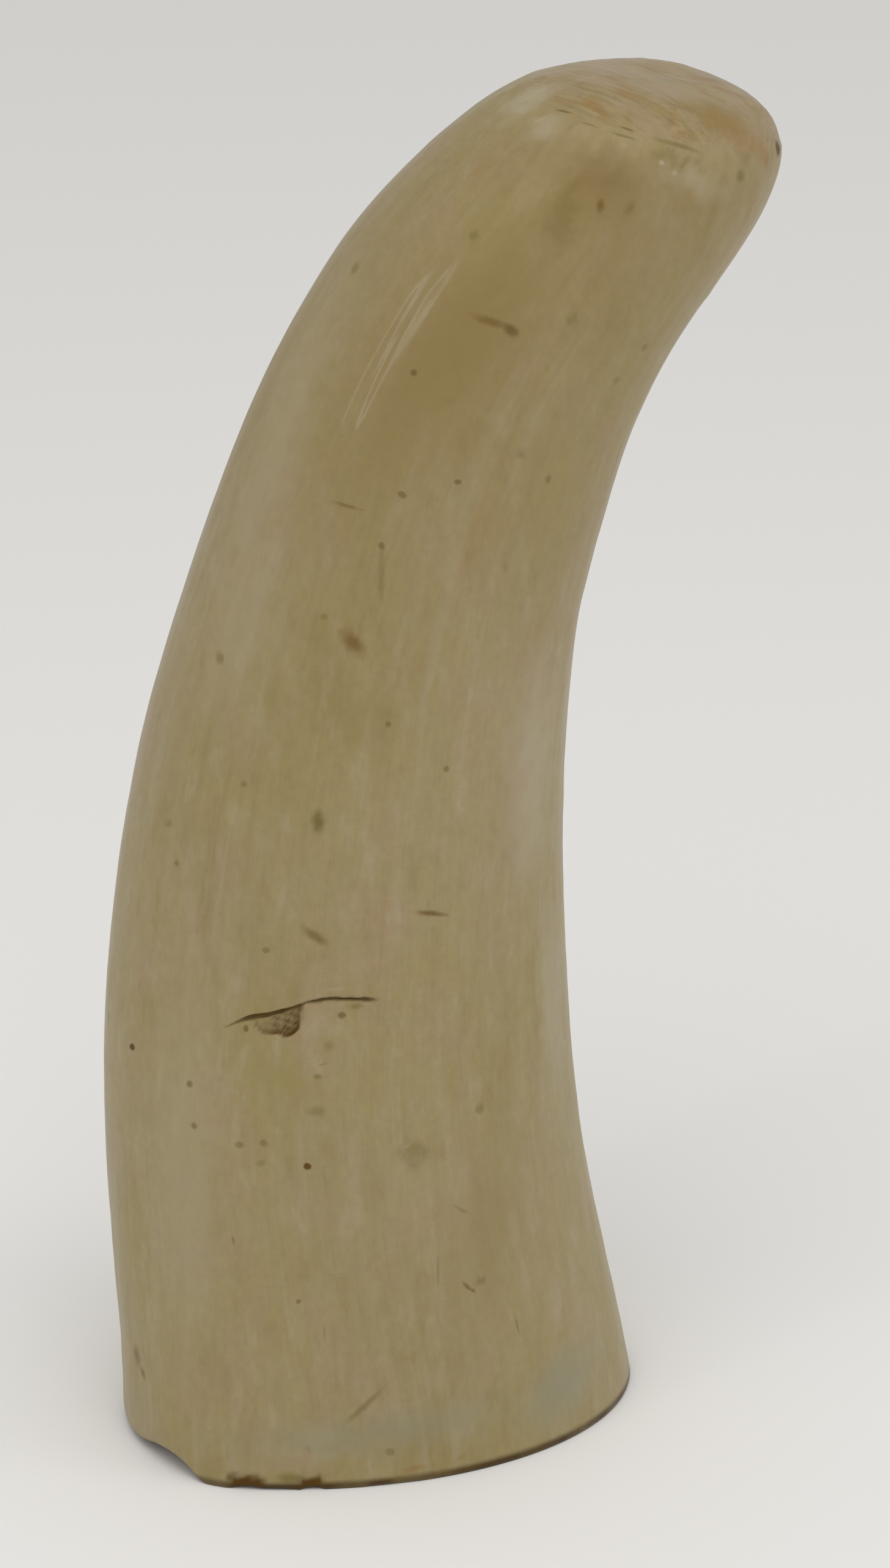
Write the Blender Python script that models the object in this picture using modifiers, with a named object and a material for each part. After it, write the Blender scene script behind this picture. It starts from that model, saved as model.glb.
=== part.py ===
"""Sperm whale tooth standing on its sawn root face: one solid, in metres, +Z up.

The tooth bends in the XZ plane. Its tip leans towards +X, its belly faces -X.
The origin is the middle of the bounding box, at the level of the root face.
"""

import math
from typing import NamedTuple

import bmesh
import bpy
from mathutils import Matrix, Vector
from mathutils.bvhtree import BVHTree

MM = 0.001


class Section(NamedTuple):
    """An oval across the body. Sizes are in millimetres and angles in degrees."""

    height: float  # of its centre above the root face
    offset: float  # of its centre towards +X, from the root face's middle
    width: float  # across the bend
    depth: float  # along Y
    lean: float  # of its own up direction, towards +X
    turn: float  # of the oval in its own plane


class Dent(NamedTuple):
    """A shallow hollow in the front skin. Sizes are in millimetres and angles in degrees."""

    name: str
    height: float  # of its middle above the root face
    offset: float  # of its middle towards +X, from the root face's middle
    length: float  # along the skin
    breadth: float  # along the skin, across its length
    sink: float  # under the skin
    turn: float  # of its length from level


# The body is lofted through these sections, from the root face to the tip.
BODY = (
    Section(height=0.0, offset=1.9, width=56.8, depth=43.8, lean=0.0, turn=12.0),
    Section(height=9.0, offset=1.1, width=56.2, depth=43.2, lean=-1.0, turn=12.0),
    Section(height=24.0, offset=-1.2, width=53.4, depth=42.0, lean=-2.0, turn=10.0),
    Section(height=42.0, offset=-2.8, width=51.4, depth=40.5, lean=-1.0, turn=8.0),
    Section(height=60.0, offset=-2.3, width=49.0, depth=39.0, lean=3.0, turn=6.0),
    Section(height=78.0, offset=-0.4, width=45.3, depth=37.0, lean=9.0, turn=4.0),
    Section(height=95.0, offset=3.1, width=41.4, depth=35.0, lean=16.0, turn=2.0),
    Section(height=110.0, offset=7.7, width=37.8, depth=33.0, lean=22.0, turn=0.0),
    Section(height=122.5, offset=13.8, width=35.5, depth=31.5, lean=26.0, turn=-2.0),
    Section(height=132.0, offset=21.4, width=35.0, depth=30.5, lean=24.0, turn=-4.0),
    Section(height=139.2, offset=27.4, width=33.2, depth=28.5, lean=16.0, turn=-6.0),
)

# The worn facet that slopes down across the tip: its soft rim and its flat middle.
FACET = (
    Section(height=144.4, offset=30.6, width=29.5, depth=24.5, lean=9.0, turn=-6.0),
    Section(height=146.8, offset=31.6, width=21.0, depth=17.0, lean=10.0, turn=-6.0),
    Section(height=147.3, offset=31.8, width=9.0, depth=7.0, lean=10.0, turn=-6.0),
)

# The conical pulp hollow in the root face.
HOLLOW = (
    Section(height=-4.0, offset=1.9, width=31.0, depth=22.0, lean=0.0, turn=9.0),
    Section(height=0.0, offset=1.7, width=30.0, depth=21.0, lean=0.0, turn=9.0),
    Section(height=12.0, offset=0.4, width=22.0, depth=15.0, lean=0.0, turn=9.0),
    Section(height=25.0, offset=-0.9, width=13.0, depth=9.0, lean=0.0, turn=9.0),
    Section(height=36.0, offset=-1.8, width=5.0, depth=3.5, lean=0.0, turn=9.0),
)

# What is broken out of the front: the flake under the crack, and the chips on the rim.
DENTS = (
    Dent("flake", height=54.1, offset=-11.6, length=4.6, breadth=2.6, sink=0.7, turn=25.0),
    Dent("rim_chip_left", height=0.5, offset=-15.8, length=3.2, breadth=2.2, sink=0.6, turn=0.0),
    Dent("rim_chip_right", height=0.5, offset=-8.9, length=3.4, breadth=2.0, sink=0.6, turn=8.0),
    Dent("rim_chip_small", height=0.2, offset=-12.6, length=2.4, breadth=1.2, sink=0.4, turn=0.0),
)

# The bite out of the rim, an egg-shaped hollow: its middle (offset, back, height),
# its half sizes, and the turn of its length from +X to run along the rim there.
BITE_AT = (-25.0, -10.4, -0.6)
BITE_HALF_SIZES = (5.2, 4.2, 2.7)
BITE_TURN = -58.0

# The crack across the front, in two strokes of (offset, height), with a small step between.
CRACK_LEFT = ((-17.4, 52.9), (-15.1, 54.2), (-12.5, 54.9), (-9.6, 55.9))
CRACK_RIGHT = ((-9.9, 55.6), (-8.4, 56.4), (-6.5, 56.6), (-4.4, 56.4), (-2.2, 56.0))
CRACK_RADIUS = 0.38

COLOUR = (0.30, 0.25, 0.145, 1.0)
ROUGHNESS = 0.38

ORIGIN_OFFSET = 8.2  # from the root face's middle to the bounding box's middle, along X
RING_POINTS = 12
SMOOTHING = 2
DENT_ROUNDNESS = 2  # subdivisions of a dent's ball
CRACK_SIDES = 2  # bevel resolution of the crack's tube
WELD = 0.00001  # m, the distance at which a tube's caps are joined to its sides
FRONT_REACH = 100.0  # from the middle to where a ray towards the front skin starts

# A subdivided ring shrinks inside its cage by this share.
CAGE_SHRINK = (2.0 + math.cos(math.tau / RING_POINTS)) / 3.0


def point(offset, back, height):
    """A place in the part's frame, from millimetres counted from the root face's middle."""
    return Vector((offset - ORIGIN_OFFSET, back, height)) * MM


def placed(section):
    """The section's frame: where its centre is, how it leans and turns, and its half sizes."""
    centre = Matrix.Translation(point(section.offset, 0.0, section.height))
    lean = Matrix.Rotation(math.radians(section.lean), 4, "Y")
    turn = Matrix.Rotation(math.radians(section.turn), 4, "Z")
    half = 0.5 * MM / CAGE_SHRINK
    size = Matrix.Diagonal((section.width * half, section.depth * half, 1.0, 1.0))
    return centre @ lean @ turn @ size


def loft(name, sections, collection):
    """A closed smooth body through the sections, flat at the first one."""
    bm = bmesh.new()
    crease = bm.edges.layers.float.new("crease_edge")
    rings = []
    for section in sections:
        ring = bmesh.ops.create_circle(
            bm, segments=RING_POINTS, radius=1.0, matrix=placed(section)
        )
        rings.append(ring["verts"])
    loops = [
        [bm.edges.get(pair) for pair in zip(ring, ring[1:] + ring[:1])] for ring in rings
    ]
    for lower, upper in zip(loops, loops[1:]):
        bmesh.ops.bridge_loops(bm, edges=lower + upper)
    flat_end = bm.faces.new(rings[0])
    bm.faces.new(rings[-1])
    for edge in flat_end.edges:
        edge[crease] = 1.0
    bmesh.ops.recalc_face_normals(bm, faces=bm.faces)
    mesh = bpy.data.meshes.new(name)
    bm.to_mesh(mesh)
    bm.free()
    mesh.shade_smooth()
    body = bpy.data.objects.new(name, mesh)
    collection.objects.link(body)
    smooth = body.modifiers.new("Smooth", "SUBSURF")
    smooth.levels = SMOOTHING
    smooth.render_levels = SMOOTHING
    return body


def collection_named(name):
    collection = bpy.data.collections.new(name)
    bpy.context.scene.collection.children.link(collection)
    return collection


def cut(body, cutter):
    """Takes the cutter's shape out of the body, and keeps the cutter as a guide."""
    cutter.hide_render = True
    cutter.display_type = "WIRE"
    removal = body.modifiers.new(cutter.name, "BOOLEAN")
    removal.operation = "DIFFERENCE"
    removal.solver = "EXACT"
    removal.object = cutter


def skin_of(body):
    """The body's surface as it is now, for finding points on it."""
    graph = bpy.context.evaluated_depsgraph_get()
    return BVHTree.FromObject(body, graph)


def front_skin(skin, offset, height):
    """The point of the front skin at that place, and the direction out of it."""
    start = point(offset, -FRONT_REACH, height)
    where, outward, _, _ = skin.ray_cast(start, Vector((0.0, 1.0, 0.0)))
    return where, outward


def ball(name, frame, collection):
    """A round cutter, stretched and placed by its frame."""
    bm = bmesh.new()
    bmesh.ops.create_icosphere(bm, subdivisions=DENT_ROUNDNESS, radius=1.0, matrix=frame)
    mesh = bpy.data.meshes.new(name)
    bm.to_mesh(mesh)
    bm.free()
    cutter = bpy.data.objects.new(name, mesh)
    collection.objects.link(cutter)
    return cutter


def dent(spec, skin, collection):
    """A shallow hollow in the front skin."""
    where, outward = front_skin(skin, spec.offset, spec.height)
    face_out = outward.to_track_quat("Z", "Y").to_matrix().to_4x4()
    turn = Matrix.Rotation(math.radians(spec.turn), 4, "Z")
    size = Matrix.Diagonal((spec.length / 2 * MM, spec.breadth / 2 * MM, spec.sink * MM, 1.0))
    return ball(spec.name, Matrix.Translation(where) @ face_out @ turn @ size, collection)


def bite(collection):
    """The hollow bitten out of the rim at the front left."""
    turn = Matrix.Rotation(math.radians(BITE_TURN), 4, "Z")
    size = Matrix.Diagonal((*(half * MM for half in BITE_HALF_SIZES), 1.0))
    return ball("rim_bite", Matrix.Translation(point(*BITE_AT)) @ turn @ size, collection)


def crack(name, route, skin, collection):
    """A thin tube along the skin through the route's points, as a cutter."""
    data = bpy.data.curves.new(name, "CURVE")
    data.dimensions = "3D"
    data.bevel_depth = CRACK_RADIUS * MM
    data.bevel_resolution = CRACK_SIDES
    data.use_fill_caps = True
    line = data.splines.new("POLY")
    line.points.add(len(route) - 1)
    for knot, (offset, height) in zip(line.points, route):
        where, _ = front_skin(skin, offset, height)
        knot.co = (*where, 1.0)
    tube = bpy.data.objects.new(name + "_line", data)
    collection.objects.link(tube)
    graph = bpy.context.evaluated_depsgraph_get()
    mesh = bpy.data.meshes.new_from_object(tube.evaluated_get(graph))
    bm = bmesh.new()
    bm.from_mesh(mesh)
    bmesh.ops.remove_doubles(bm, verts=bm.verts, dist=WELD)
    bmesh.ops.recalc_face_normals(bm, faces=bm.faces)
    bm.to_mesh(mesh)
    bm.free()
    cutter = bpy.data.objects.new(name, mesh)
    cutter.matrix_world = tube.matrix_world
    collection.objects.link(cutter)
    bpy.data.objects.remove(tube, do_unlink=True)
    return cutter


def dentine():
    material = bpy.data.materials.new("dentine")
    material.use_nodes = True
    shader = material.node_tree.nodes["Principled BSDF"]
    shader.inputs["Base Color"].default_value = COLOUR
    shader.inputs["Roughness"].default_value = ROUGHNESS
    shader.inputs["Metallic"].default_value = 0.0
    return material


def main():
    for old in list(bpy.data.objects):
        bpy.data.objects.remove(old, do_unlink=True)
    parts = collection_named("sperm_whale_tooth")
    cutters = collection_named("cutters")
    tooth = loft("tooth", BODY + FACET, parts)
    tooth.data.materials.append(dentine())
    skin = skin_of(tooth)
    cut(tooth, loft("pulp_hollow", HOLLOW, cutters))
    cut(tooth, bite(cutters))
    for spec in DENTS:
        cut(tooth, dent(spec, skin, cutters))
    cut(tooth, crack("crack_left", CRACK_LEFT, skin, cutters))
    cut(tooth, crack("crack_right", CRACK_RIGHT, skin, cutters))


main()
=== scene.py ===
"""Sperm whale tooth standing on its sawn root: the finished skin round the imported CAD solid.

The tooth bends in the XZ plane. Its tip leans towards +X and its front faces -Y.
Names that end in _MM, and the fields of the tuples below, are in millimetres.
"""

import math
from typing import NamedTuple

import bpy
import numpy as np
from mathutils import Matrix, Quaternion, Vector
from mathutils.bvhtree import BVHTree


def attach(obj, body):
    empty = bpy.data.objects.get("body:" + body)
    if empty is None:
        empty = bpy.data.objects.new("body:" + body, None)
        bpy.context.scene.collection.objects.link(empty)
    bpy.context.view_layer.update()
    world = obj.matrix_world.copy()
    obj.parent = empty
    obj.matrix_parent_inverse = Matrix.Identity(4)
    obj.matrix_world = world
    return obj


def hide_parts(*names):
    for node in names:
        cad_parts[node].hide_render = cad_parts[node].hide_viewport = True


bl_info = {
    "name": "Sperm Whale Tooth",
    "version": (1, 0, 0),
    "blender": (4, 5, 0),
    "location": "View3D > Sidebar > Tooth",
    "description": "Builds a polished sperm whale tooth and the studio it stands in",
    "category": "Object",
}

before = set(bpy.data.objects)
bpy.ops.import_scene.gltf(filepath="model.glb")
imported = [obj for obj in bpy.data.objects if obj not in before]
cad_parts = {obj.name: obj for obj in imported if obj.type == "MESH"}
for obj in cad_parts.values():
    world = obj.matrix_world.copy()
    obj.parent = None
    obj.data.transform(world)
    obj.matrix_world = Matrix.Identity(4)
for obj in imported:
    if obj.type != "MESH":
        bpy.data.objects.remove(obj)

MM = 0.001
NODE = "tooth"

PHOTO_WIDTH = 1456
PHOTO_HEIGHT = 2564
PIXELS_PER_MM = 15.5  # of the photograph, at the tooth
SENSOR_MM = 36.0


# Measures


class Station(NamedTuple):
    """A place on the line that the rings are strung on."""

    height: float
    offset: float  # towards +X
    lean: float  # degrees that the ring's up direction leans towards +X


BODY_LINE = (
    Station(0.0, -6.3, 0.0),
    Station(9.0, -7.1, -1.0),
    Station(24.0, -9.4, -2.0),
    Station(42.0, -11.0, -1.0),
    Station(60.0, -10.5, 3.0),
    Station(78.0, -8.6, 9.0),
    Station(95.0, -5.1, 16.0),
    Station(110.0, -0.5, 22.0),
    Station(122.5, 5.6, 26.0),
    Station(133.0, 13.0, 28.0),
)

HOLLOW_LINE = (
    Station(0.0, -6.5, 0.0),
    Station(12.0, -7.8, 0.0),
    Station(25.0, -9.1, 0.0),
    Station(33.0, -9.75, 0.0),
)


class Notch(NamedTuple):
    """A piece broken out of the rim, placed by a pixel of the photograph on the rim."""

    x: float
    y: float
    half_length: float  # along the rim
    rise: float
    stained: float = 0.0  # height above the root face up to which the skin there is dirty


NOTCHES = (
    Notch(x=424, y=2422, half_length=1.7, rise=0.42, stained=2.8),
    Notch(x=446, y=2424, half_length=3.4, rise=0.25),
    Notch(x=520, y=2424, half_length=1.2, rise=0.35, stained=2.6),
    Notch(x=640, y=2424, half_length=3.0, rise=0.1),
)

# The edge of the bite out of the rim at the front left, in pixels of the photograph.
BITE_EDGE = (
    (203, 2285), (208, 2310), (214, 2328), (222, 2341), (231, 2350), (242, 2355),
    (260, 2361), (280, 2371), (296, 2383), (309, 2396), (320, 2411), (331, 2425),
)


class Mark(NamedTuple):
    """A spot, stain or scratch, or a painted highlight, sheen or shade, placed by a pixel of the
    photograph, with its sizes in pixels.
    """

    tone: str
    x: float
    y: float
    half_length: float
    half_breadth: float
    turn: float  # degrees, anticlockwise from level
    strength: float
    softness: float = 0.6


class Stroke(NamedTuple):
    """A stroke of the crack: its line in pixels of the photograph, and its half width."""

    route: tuple
    half_width: float
    dirt: float  # from 0, clean, to 1


CRACK = (
    Stroke(
        ((371, 1679), (390, 1671), (409, 1665), (437, 1661), (457, 1656), (477, 1651), (496, 1643)),
        half_width=0.27, dirt=0.85,
    ),
    Stroke(
        ((492, 1645), (501, 1640), (518, 1637), (536, 1634), (558, 1634), (580, 1634), (614, 1636)),
        half_width=0.36, dirt=0.66,
    ),
)

# The broken edge of the flake under the crack, in pixels of the photograph, from its top right.
FLAKE_EDGE = (
    (497, 1645), (493, 1657), (492, 1672), (487, 1685), (477, 1693), (466, 1696), (456, 1691),
    (443, 1692), (430, 1690), (421, 1683), (414, 1672),
)


# Settings


def length_setting(name, description, millimetres):
    return bpy.props.FloatProperty(
        name=name, description=description, default=millimetres * MM,
        min=0.0, precision=6, unit="LENGTH",
    )


def colour_setting(name, description, colour):
    return bpy.props.FloatVectorProperty(
        name=name, description=description, default=colour,
        size=3, min=0.0, max=1.0, subtype="COLOR",
    )


def share_setting(name, description, share):
    return bpy.props.FloatProperty(
        name=name, description=description, default=share, min=0.0, max=1.0, subtype="FACTOR",
    )


def angle_setting(name, description, degrees):
    return bpy.props.FloatProperty(
        name=name, description=description, default=math.radians(degrees), subtype="ANGLE",
    )


def power_setting(name, description, watts):
    return bpy.props.FloatProperty(
        name=name, description=description, default=watts, min=0.0, unit="POWER",
    )


class ToothShape(bpy.types.PropertyGroup):
    """How deep the marks of growth and wear are cut into the tooth"""

    flute_depth: length_setting("Flute depth", "Height of the long ridges", 0.16)
    flute_width: length_setting("Flute width", "Spacing of the long ridges round the tooth", 7.0)
    flute_length: length_setting("Flute length", "Run of one long ridge", 70.0)
    strand_depth: length_setting("Strand depth", "Height of the fine grain", 0.03)
    ring_depth: length_setting("Ring depth", "Height of the growth rings", 0.05)
    ring_spacing: length_setting("Ring spacing", "Distance between growth rings", 6.0)
    pit_depth: length_setting("Pit depth", "Depth of the scattered pits", 0.14)
    pit_spacing: length_setting("Pit spacing", "Distance between pits", 9.0)
    crack_depth: length_setting("Crack depth", "Depth of the crack across the front", 0.6)
    crack_width: length_setting("Crack width", "Width of the crack across the front", 0.5)
    seed: bpy.props.IntProperty(
        name="Seed", description="Which pattern of ridges and pits is drawn", default=7, min=0,
    )


class ToothFinish(bpy.types.PropertyGroup):
    """The colours and the gloss of the polished tooth, some of them also laid as painted
    highlights, sheen and shade
    """

    ivory: colour_setting("Ivory", "Main colour of the skin", (0.322, 0.258, 0.136))
    straw: colour_setting("Straw", "Yellower patches", (0.300, 0.242, 0.098))
    rose: colour_setting("Rose", "Pinker patches and the worn facet", (0.334, 0.244, 0.150))
    # tan is also laid as painted shade on the lower right
    tan: colour_setting("Tan", "Browner skin towards the tip", (0.243, 0.175, 0.064))
    # also laid as painted highlights on the left shoulder, under the facet and on the crack's lip,
    # and as painted light on the lower left
    bone: colour_setting("Bone", "Pale, greyer skin", (0.388, 0.336, 0.228))
    # painted sheen: this pale grey is laid over the skin above the rim to stand for a sheen
    ash: colour_setting("Ash", "Grey skin above the rim", (0.268, 0.254, 0.168))
    olive: colour_setting("Olive", "Greenish brown stains", (0.130, 0.100, 0.018))
    brown: colour_setting("Brown", "Brown smudges and scratches", (0.125, 0.070, 0.012))
    rust: colour_setting("Rust", "Orange brown stains", (0.285, 0.155, 0.050))
    umber: colour_setting("Umber", "Dirt in cracks, pits and chips", (0.075, 0.032, 0.001))
    sawn: colour_setting("Sawn", "Root face and hollow", (0.320, 0.255, 0.145))
    roughness: share_setting("Roughness", "How dull the polish is", 0.46)
    polish: share_setting("Polish", "Strength of the thin glossy coat", 0.16)


class ToothStudio(bpy.types.PropertyGroup):
    """Where the camera stands and how bright the lights are"""

    azimuth: angle_setting("Camera azimuth", "Turn of the camera round the tooth", -12.0)
    elevation: angle_setting("Camera elevation", "Height of the camera above level", 21.5)
    distance: length_setting("Camera distance", "From the camera to its aim", 620.0)
    lens: bpy.props.FloatProperty(
        name="Lens", description="Focal length of the camera", default=134.5, unit="CAMERA",
    )
    aim_across: length_setting("Aim across", "Shift of the aim to the right", 8.1)
    aim_height: length_setting("Aim height", "Height of the aim", 72.0)
    room: bpy.props.FloatProperty(
        name="Room light", description="Brightness of the white room", default=0.62, min=0.0,
    )
    overhead: power_setting("Overhead", "Power of the soft light above", 1.9)
    strip: power_setting("Strip", "Power of the narrow light at the left", 0.13)
    side: power_setting("Side", "Power of the broad light at the right", 0.8)


# Reading the CAD skin

COLUMNS = 256  # of the finished mesh, round the tooth
SAMPLES = 144  # round the tooth, of the rays that read the CAD skin
SPREAD = 8  # rows added past each end of what is read, so that smoothing has neighbours
ROUND_PASSES = 7  # of smoothing round the tooth
LONG_PASSES = 10  # of smoothing along it
REACH_MM = 60.0  # from the tooth's middle to where a ray towards its outside starts
SLOPE_ROWS = 4  # over which the slope at the first row is measured
FRONT = math.radians(-102.0)  # bearing of the camera
FRONT_DETAIL = 0.45  # how much closer together the columns are there
FRONT_REACH = -0.6  # cosine of the angle from the front at which the view ends
BEARING_STEPS = 2880  # in which the columns' spacing is worked out


def smooth_through(knots, values, at):
    """Reads a smooth curve through the values at the knots."""
    knots, values = np.asarray(knots, float), np.asarray(values, float)
    slopes = np.gradient(values, knots)
    low = np.clip(np.searchsorted(knots, at, side="right") - 1, 0, len(knots) - 2)
    span = knots[low + 1] - knots[low]
    t = (at - knots[low]) / span
    rise = (3.0 - 2.0 * t) * t * t
    return (
        values[low] * (1.0 - rise)
        + values[low + 1] * rise
        + span * slopes[low] * t * (1.0 - t) ** 2
        + span * slopes[low + 1] * t * t * (t - 1.0)
    )


def eased(value, low, high):
    """0 below low, 1 above high, and a smooth step between them. low may be the larger."""
    t = np.clip((value - low) / (high - low), 0.0, 1.0)
    return t * t * (3.0 - 2.0 * t)


def soften(table, passes, axis):
    """Averages each value with its neighbours. Round the tooth, the ends are neighbours."""
    for _ in range(passes):
        if axis == 1:
            before, after = np.roll(table, 1, 1), np.roll(table, -1, 1)
        else:
            padded = np.pad(table, ((1, 1), (0, 0)), mode="edge")
            before, after = padded[:-2], padded[2:]
        table = (before + 2.0 * table + after) / 4.0
    return table


class Sweep:
    """A smooth skin read off the CAD solid: rings along a line, and a dome over its end.

    Rows count in millimetres of height up to the line's end, and then in steps of the dome.
    """

    def __init__(self, skin, line, first_row, dome_rows, outside):
        self.height = np.array([station.height for station in line])
        self.offset = np.array([station.offset for station in line])
        self.lean = np.radians([station.lean for station in line])
        self.end = line[-1].height
        self.dome_rows = dome_rows
        self.last = self.end + dome_rows
        self.first = -SPREAD
        self.radii = self.read(skin, first_row, outside)

    def rays(self, rows, bearings):
        """The middle of each row's ring, and its direction at each bearing."""
        height = np.minimum(rows, self.end)
        offset = smooth_through(self.height, self.offset, height)
        lean = smooth_through(self.height, self.lean, height)
        tilt = np.clip(rows - self.end, 0.0, None) / self.dome_rows * (math.pi / 2.0)
        middle = np.stack([offset, np.zeros_like(offset), height], -1)
        right = np.cos(tilt) * np.cos(bearings)
        back = np.cos(tilt) * np.sin(bearings)
        up = np.sin(tilt)
        direction = np.stack([
            right * np.cos(lean) + up * np.sin(lean),
            back,
            up * np.cos(lean) - right * np.sin(lean),
        ], -1)
        return middle, direction

    def read(self, skin, first_row, outside):
        rows = np.arange(first_row, self.last + 1.0)
        bearings = np.arange(SAMPLES) / SAMPLES * math.tau
        middle, direction = self.rays(*np.meshgrid(rows, bearings, indexing="ij"))
        radii = np.zeros(middle.shape[:2])
        for at in np.ndindex(radii.shape):
            centre, way = Vector(middle[at]) * MM, Vector(direction[at])
            if outside:
                hit, _, _, _ = skin.ray_cast(centre + way * REACH_MM * MM, -way)
            else:
                hit, _, _, _ = skin.ray_cast(centre, way)
            if hit is None:
                raise RuntimeError(f"a ray from {tuple(centre)} missed the CAD skin")
            radii[at] = (hit - centre).length / MM
        slope = (radii[SLOPE_ROWS] - radii[0]) / SLOPE_ROWS
        below = np.arange(self.first - first_row, 0.0)[:, None]
        over = np.roll(radii[-2:-2 - SPREAD:-1], SAMPLES // 2, 1)
        table = np.vstack([radii[0] + slope * below, radii, over])

        def smooth(values):
            return soften(soften(values, ROUND_PASSES, 1), LONG_PASSES, 0)

        once = smooth(table)
        return once + smooth(table - once)

    def radius(self, rows, bearings):
        """The skin's distance from the middle of the ring, in millimetres."""
        down = rows - self.first
        round_ = np.mod(bearings / math.tau, 1.0) * SAMPLES
        total = np.zeros(np.shape(down))
        row, column = np.floor(down).astype(int), np.floor(round_).astype(int)
        row_shares, column_shares = spline_shares(down - row), spline_shares(round_ - column)
        for i, row_share in enumerate(row_shares):
            at_row = np.clip(row + i - 1, 0, len(self.radii) - 1)
            for j, column_share in enumerate(column_shares):
                at_column = (column + j - 1) % SAMPLES
                total += row_share * column_share * self.radii[at_row, at_column]
        return total

    def points(self, rows, bearings, inset=0.0):
        """Places on the skin, in millimetres."""
        middle, direction = self.rays(rows, bearings)
        return middle + direction * (self.radius(rows, bearings) - inset)[..., None]


def spline_shares(t):
    """How much each of four neighbours counts in a smooth curve between the middle two."""
    return (
        (1.0 - t) ** 3 / 6.0,
        (3.0 * t ** 3 - 6.0 * t ** 2 + 4.0) / 6.0,
        (-3.0 * t ** 3 + 3.0 * t ** 2 + 3.0 * t + 1.0) / 6.0,
        t ** 3 / 6.0,
    )


def cad_skin():
    """The CAD solid's surface, for casting rays at it."""
    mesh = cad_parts[NODE].data
    corners = [vertex.co.copy() for vertex in mesh.vertices]
    return BVHTree.FromPolygons(corners, [tuple(face.vertices) for face in mesh.polygons])


# Camera


class View:
    """The photograph's view: where the camera is, and where its pixels look."""

    def __init__(self, studio):
        azimuth, elevation = studio.azimuth, studio.elevation
        level = Vector((-math.sin(azimuth), math.cos(azimuth), 0.0))
        self.right = Vector((math.cos(azimuth), math.sin(azimuth), 0.0))
        self.ahead = level * math.cos(elevation) - Vector((0.0, 0.0, math.sin(elevation)))
        self.up = self.right.cross(self.ahead)
        root_middle = Vector((BODY_LINE[1].offset * MM, 0.0, 0.0))
        aim = root_middle + self.right * studio.aim_across
        aim.z += studio.aim_height
        self.place = aim - self.ahead * studio.distance
        self.focal = studio.lens / SENSOR_MM * PHOTO_HEIGHT

    def ray(self, x, y):
        across = (x - PHOTO_WIDTH / 2) / self.focal
        down = (y - PHOTO_HEIGHT / 2) / self.focal
        return (self.ahead + self.right * across - self.up * down).normalized()

    def pixels(self, points):
        """The photograph's pixels that show these places, which are in millimetres."""
        gap = points * MM - np.array(self.place)
        scale = self.focal / (gap @ np.array(self.ahead))
        across = gap @ np.array(self.right) * scale + PHOTO_WIDTH / 2
        down = PHOTO_HEIGHT / 2 - gap @ np.array(self.up) * scale
        return np.stack([across, down], -1)

    def on_skin(self, skin, x, y):
        """The place and the outward direction of the CAD skin behind a pixel."""
        hit, outward, _, _ = skin.ray_cast(self.place, self.ray(x, y))
        if hit is None:
            raise RuntimeError(f"pixel {x}, {y} doesn't meet the tooth")
        if outward.dot(self.ahead) > 0.0:
            outward.negate()
        return hit, outward

    def matrix(self):
        turn = Matrix((self.right, self.up, -self.ahead)).transposed().to_4x4()
        return Matrix.Translation(self.place) @ turn


# The body's mesh


class Swell(NamedTuple):
    """A slight fullness of the skin, or a flat where it is negative."""

    row: float  # height of its middle along the line, and past the line's end over the dome
    reach: float  # height from there at which it is gone
    bearing: float  # degrees
    spread: float  # degrees each way
    out: float


SWELLS = (
    Swell(row=0.0, reach=30.0, bearing=-142.0, spread=17.0, out=1.7),
    Swell(row=0.0, reach=40.0, bearing=-92.0, spread=40.0, out=-0.45),
    Swell(row=0.0, reach=13.0, bearing=-14.0, spread=34.0, out=0.5),
    Swell(row=0.0, reach=12.0, bearing=-176.0, spread=14.0, out=0.3),
    Swell(row=48.0, reach=26.0, bearing=-6.0, spread=40.0, out=0.2),
    Swell(row=93.0, reach=20.0, bearing=170.0, spread=45.0, out=-0.32),
    Swell(row=111.0, reach=19.0, bearing=-13.0, spread=42.0, out=0.7),
    Swell(row=132.0, reach=10.0, bearing=-16.0, spread=40.0, out=-0.22),
    Swell(row=134.0, reach=14.0, bearing=156.0, spread=35.0, out=-0.28),
    Swell(row=146.0, reach=9.0, bearing=128.0, spread=38.0, out=-0.25),
    Swell(row=146.0, reach=9.0, bearing=-6.0, spread=24.0, out=0.1),
    Swell(row=151.0, reach=7.0, bearing=55.0, spread=44.0, out=0.85),
)


def swelling(rows, bearings):
    """How far the swells push the skin out, in millimetres."""
    total = np.zeros(np.shape(rows))
    for swell in SWELLS:
        apart = (bearings - math.radians(swell.bearing) + math.pi) % math.tau - math.pi
        total = total + (
            swell.out * np.exp(-((apart / math.radians(swell.spread)) ** 2))
            * eased(np.abs(rows - swell.row), swell.reach, 0.0)
        )
    return total


BODY_READ_FROM_MM = 7.0  # over the dents that the CAD solid has in its rim
BODY_DOME_ROWS = 25
HOLLOW_READ_FROM_MM = 1.0
HOLLOW_DOME_ROWS = 5
HOLLOW_START_MM = 12.0  # how far past the rim the hollow counts as starting

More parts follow.
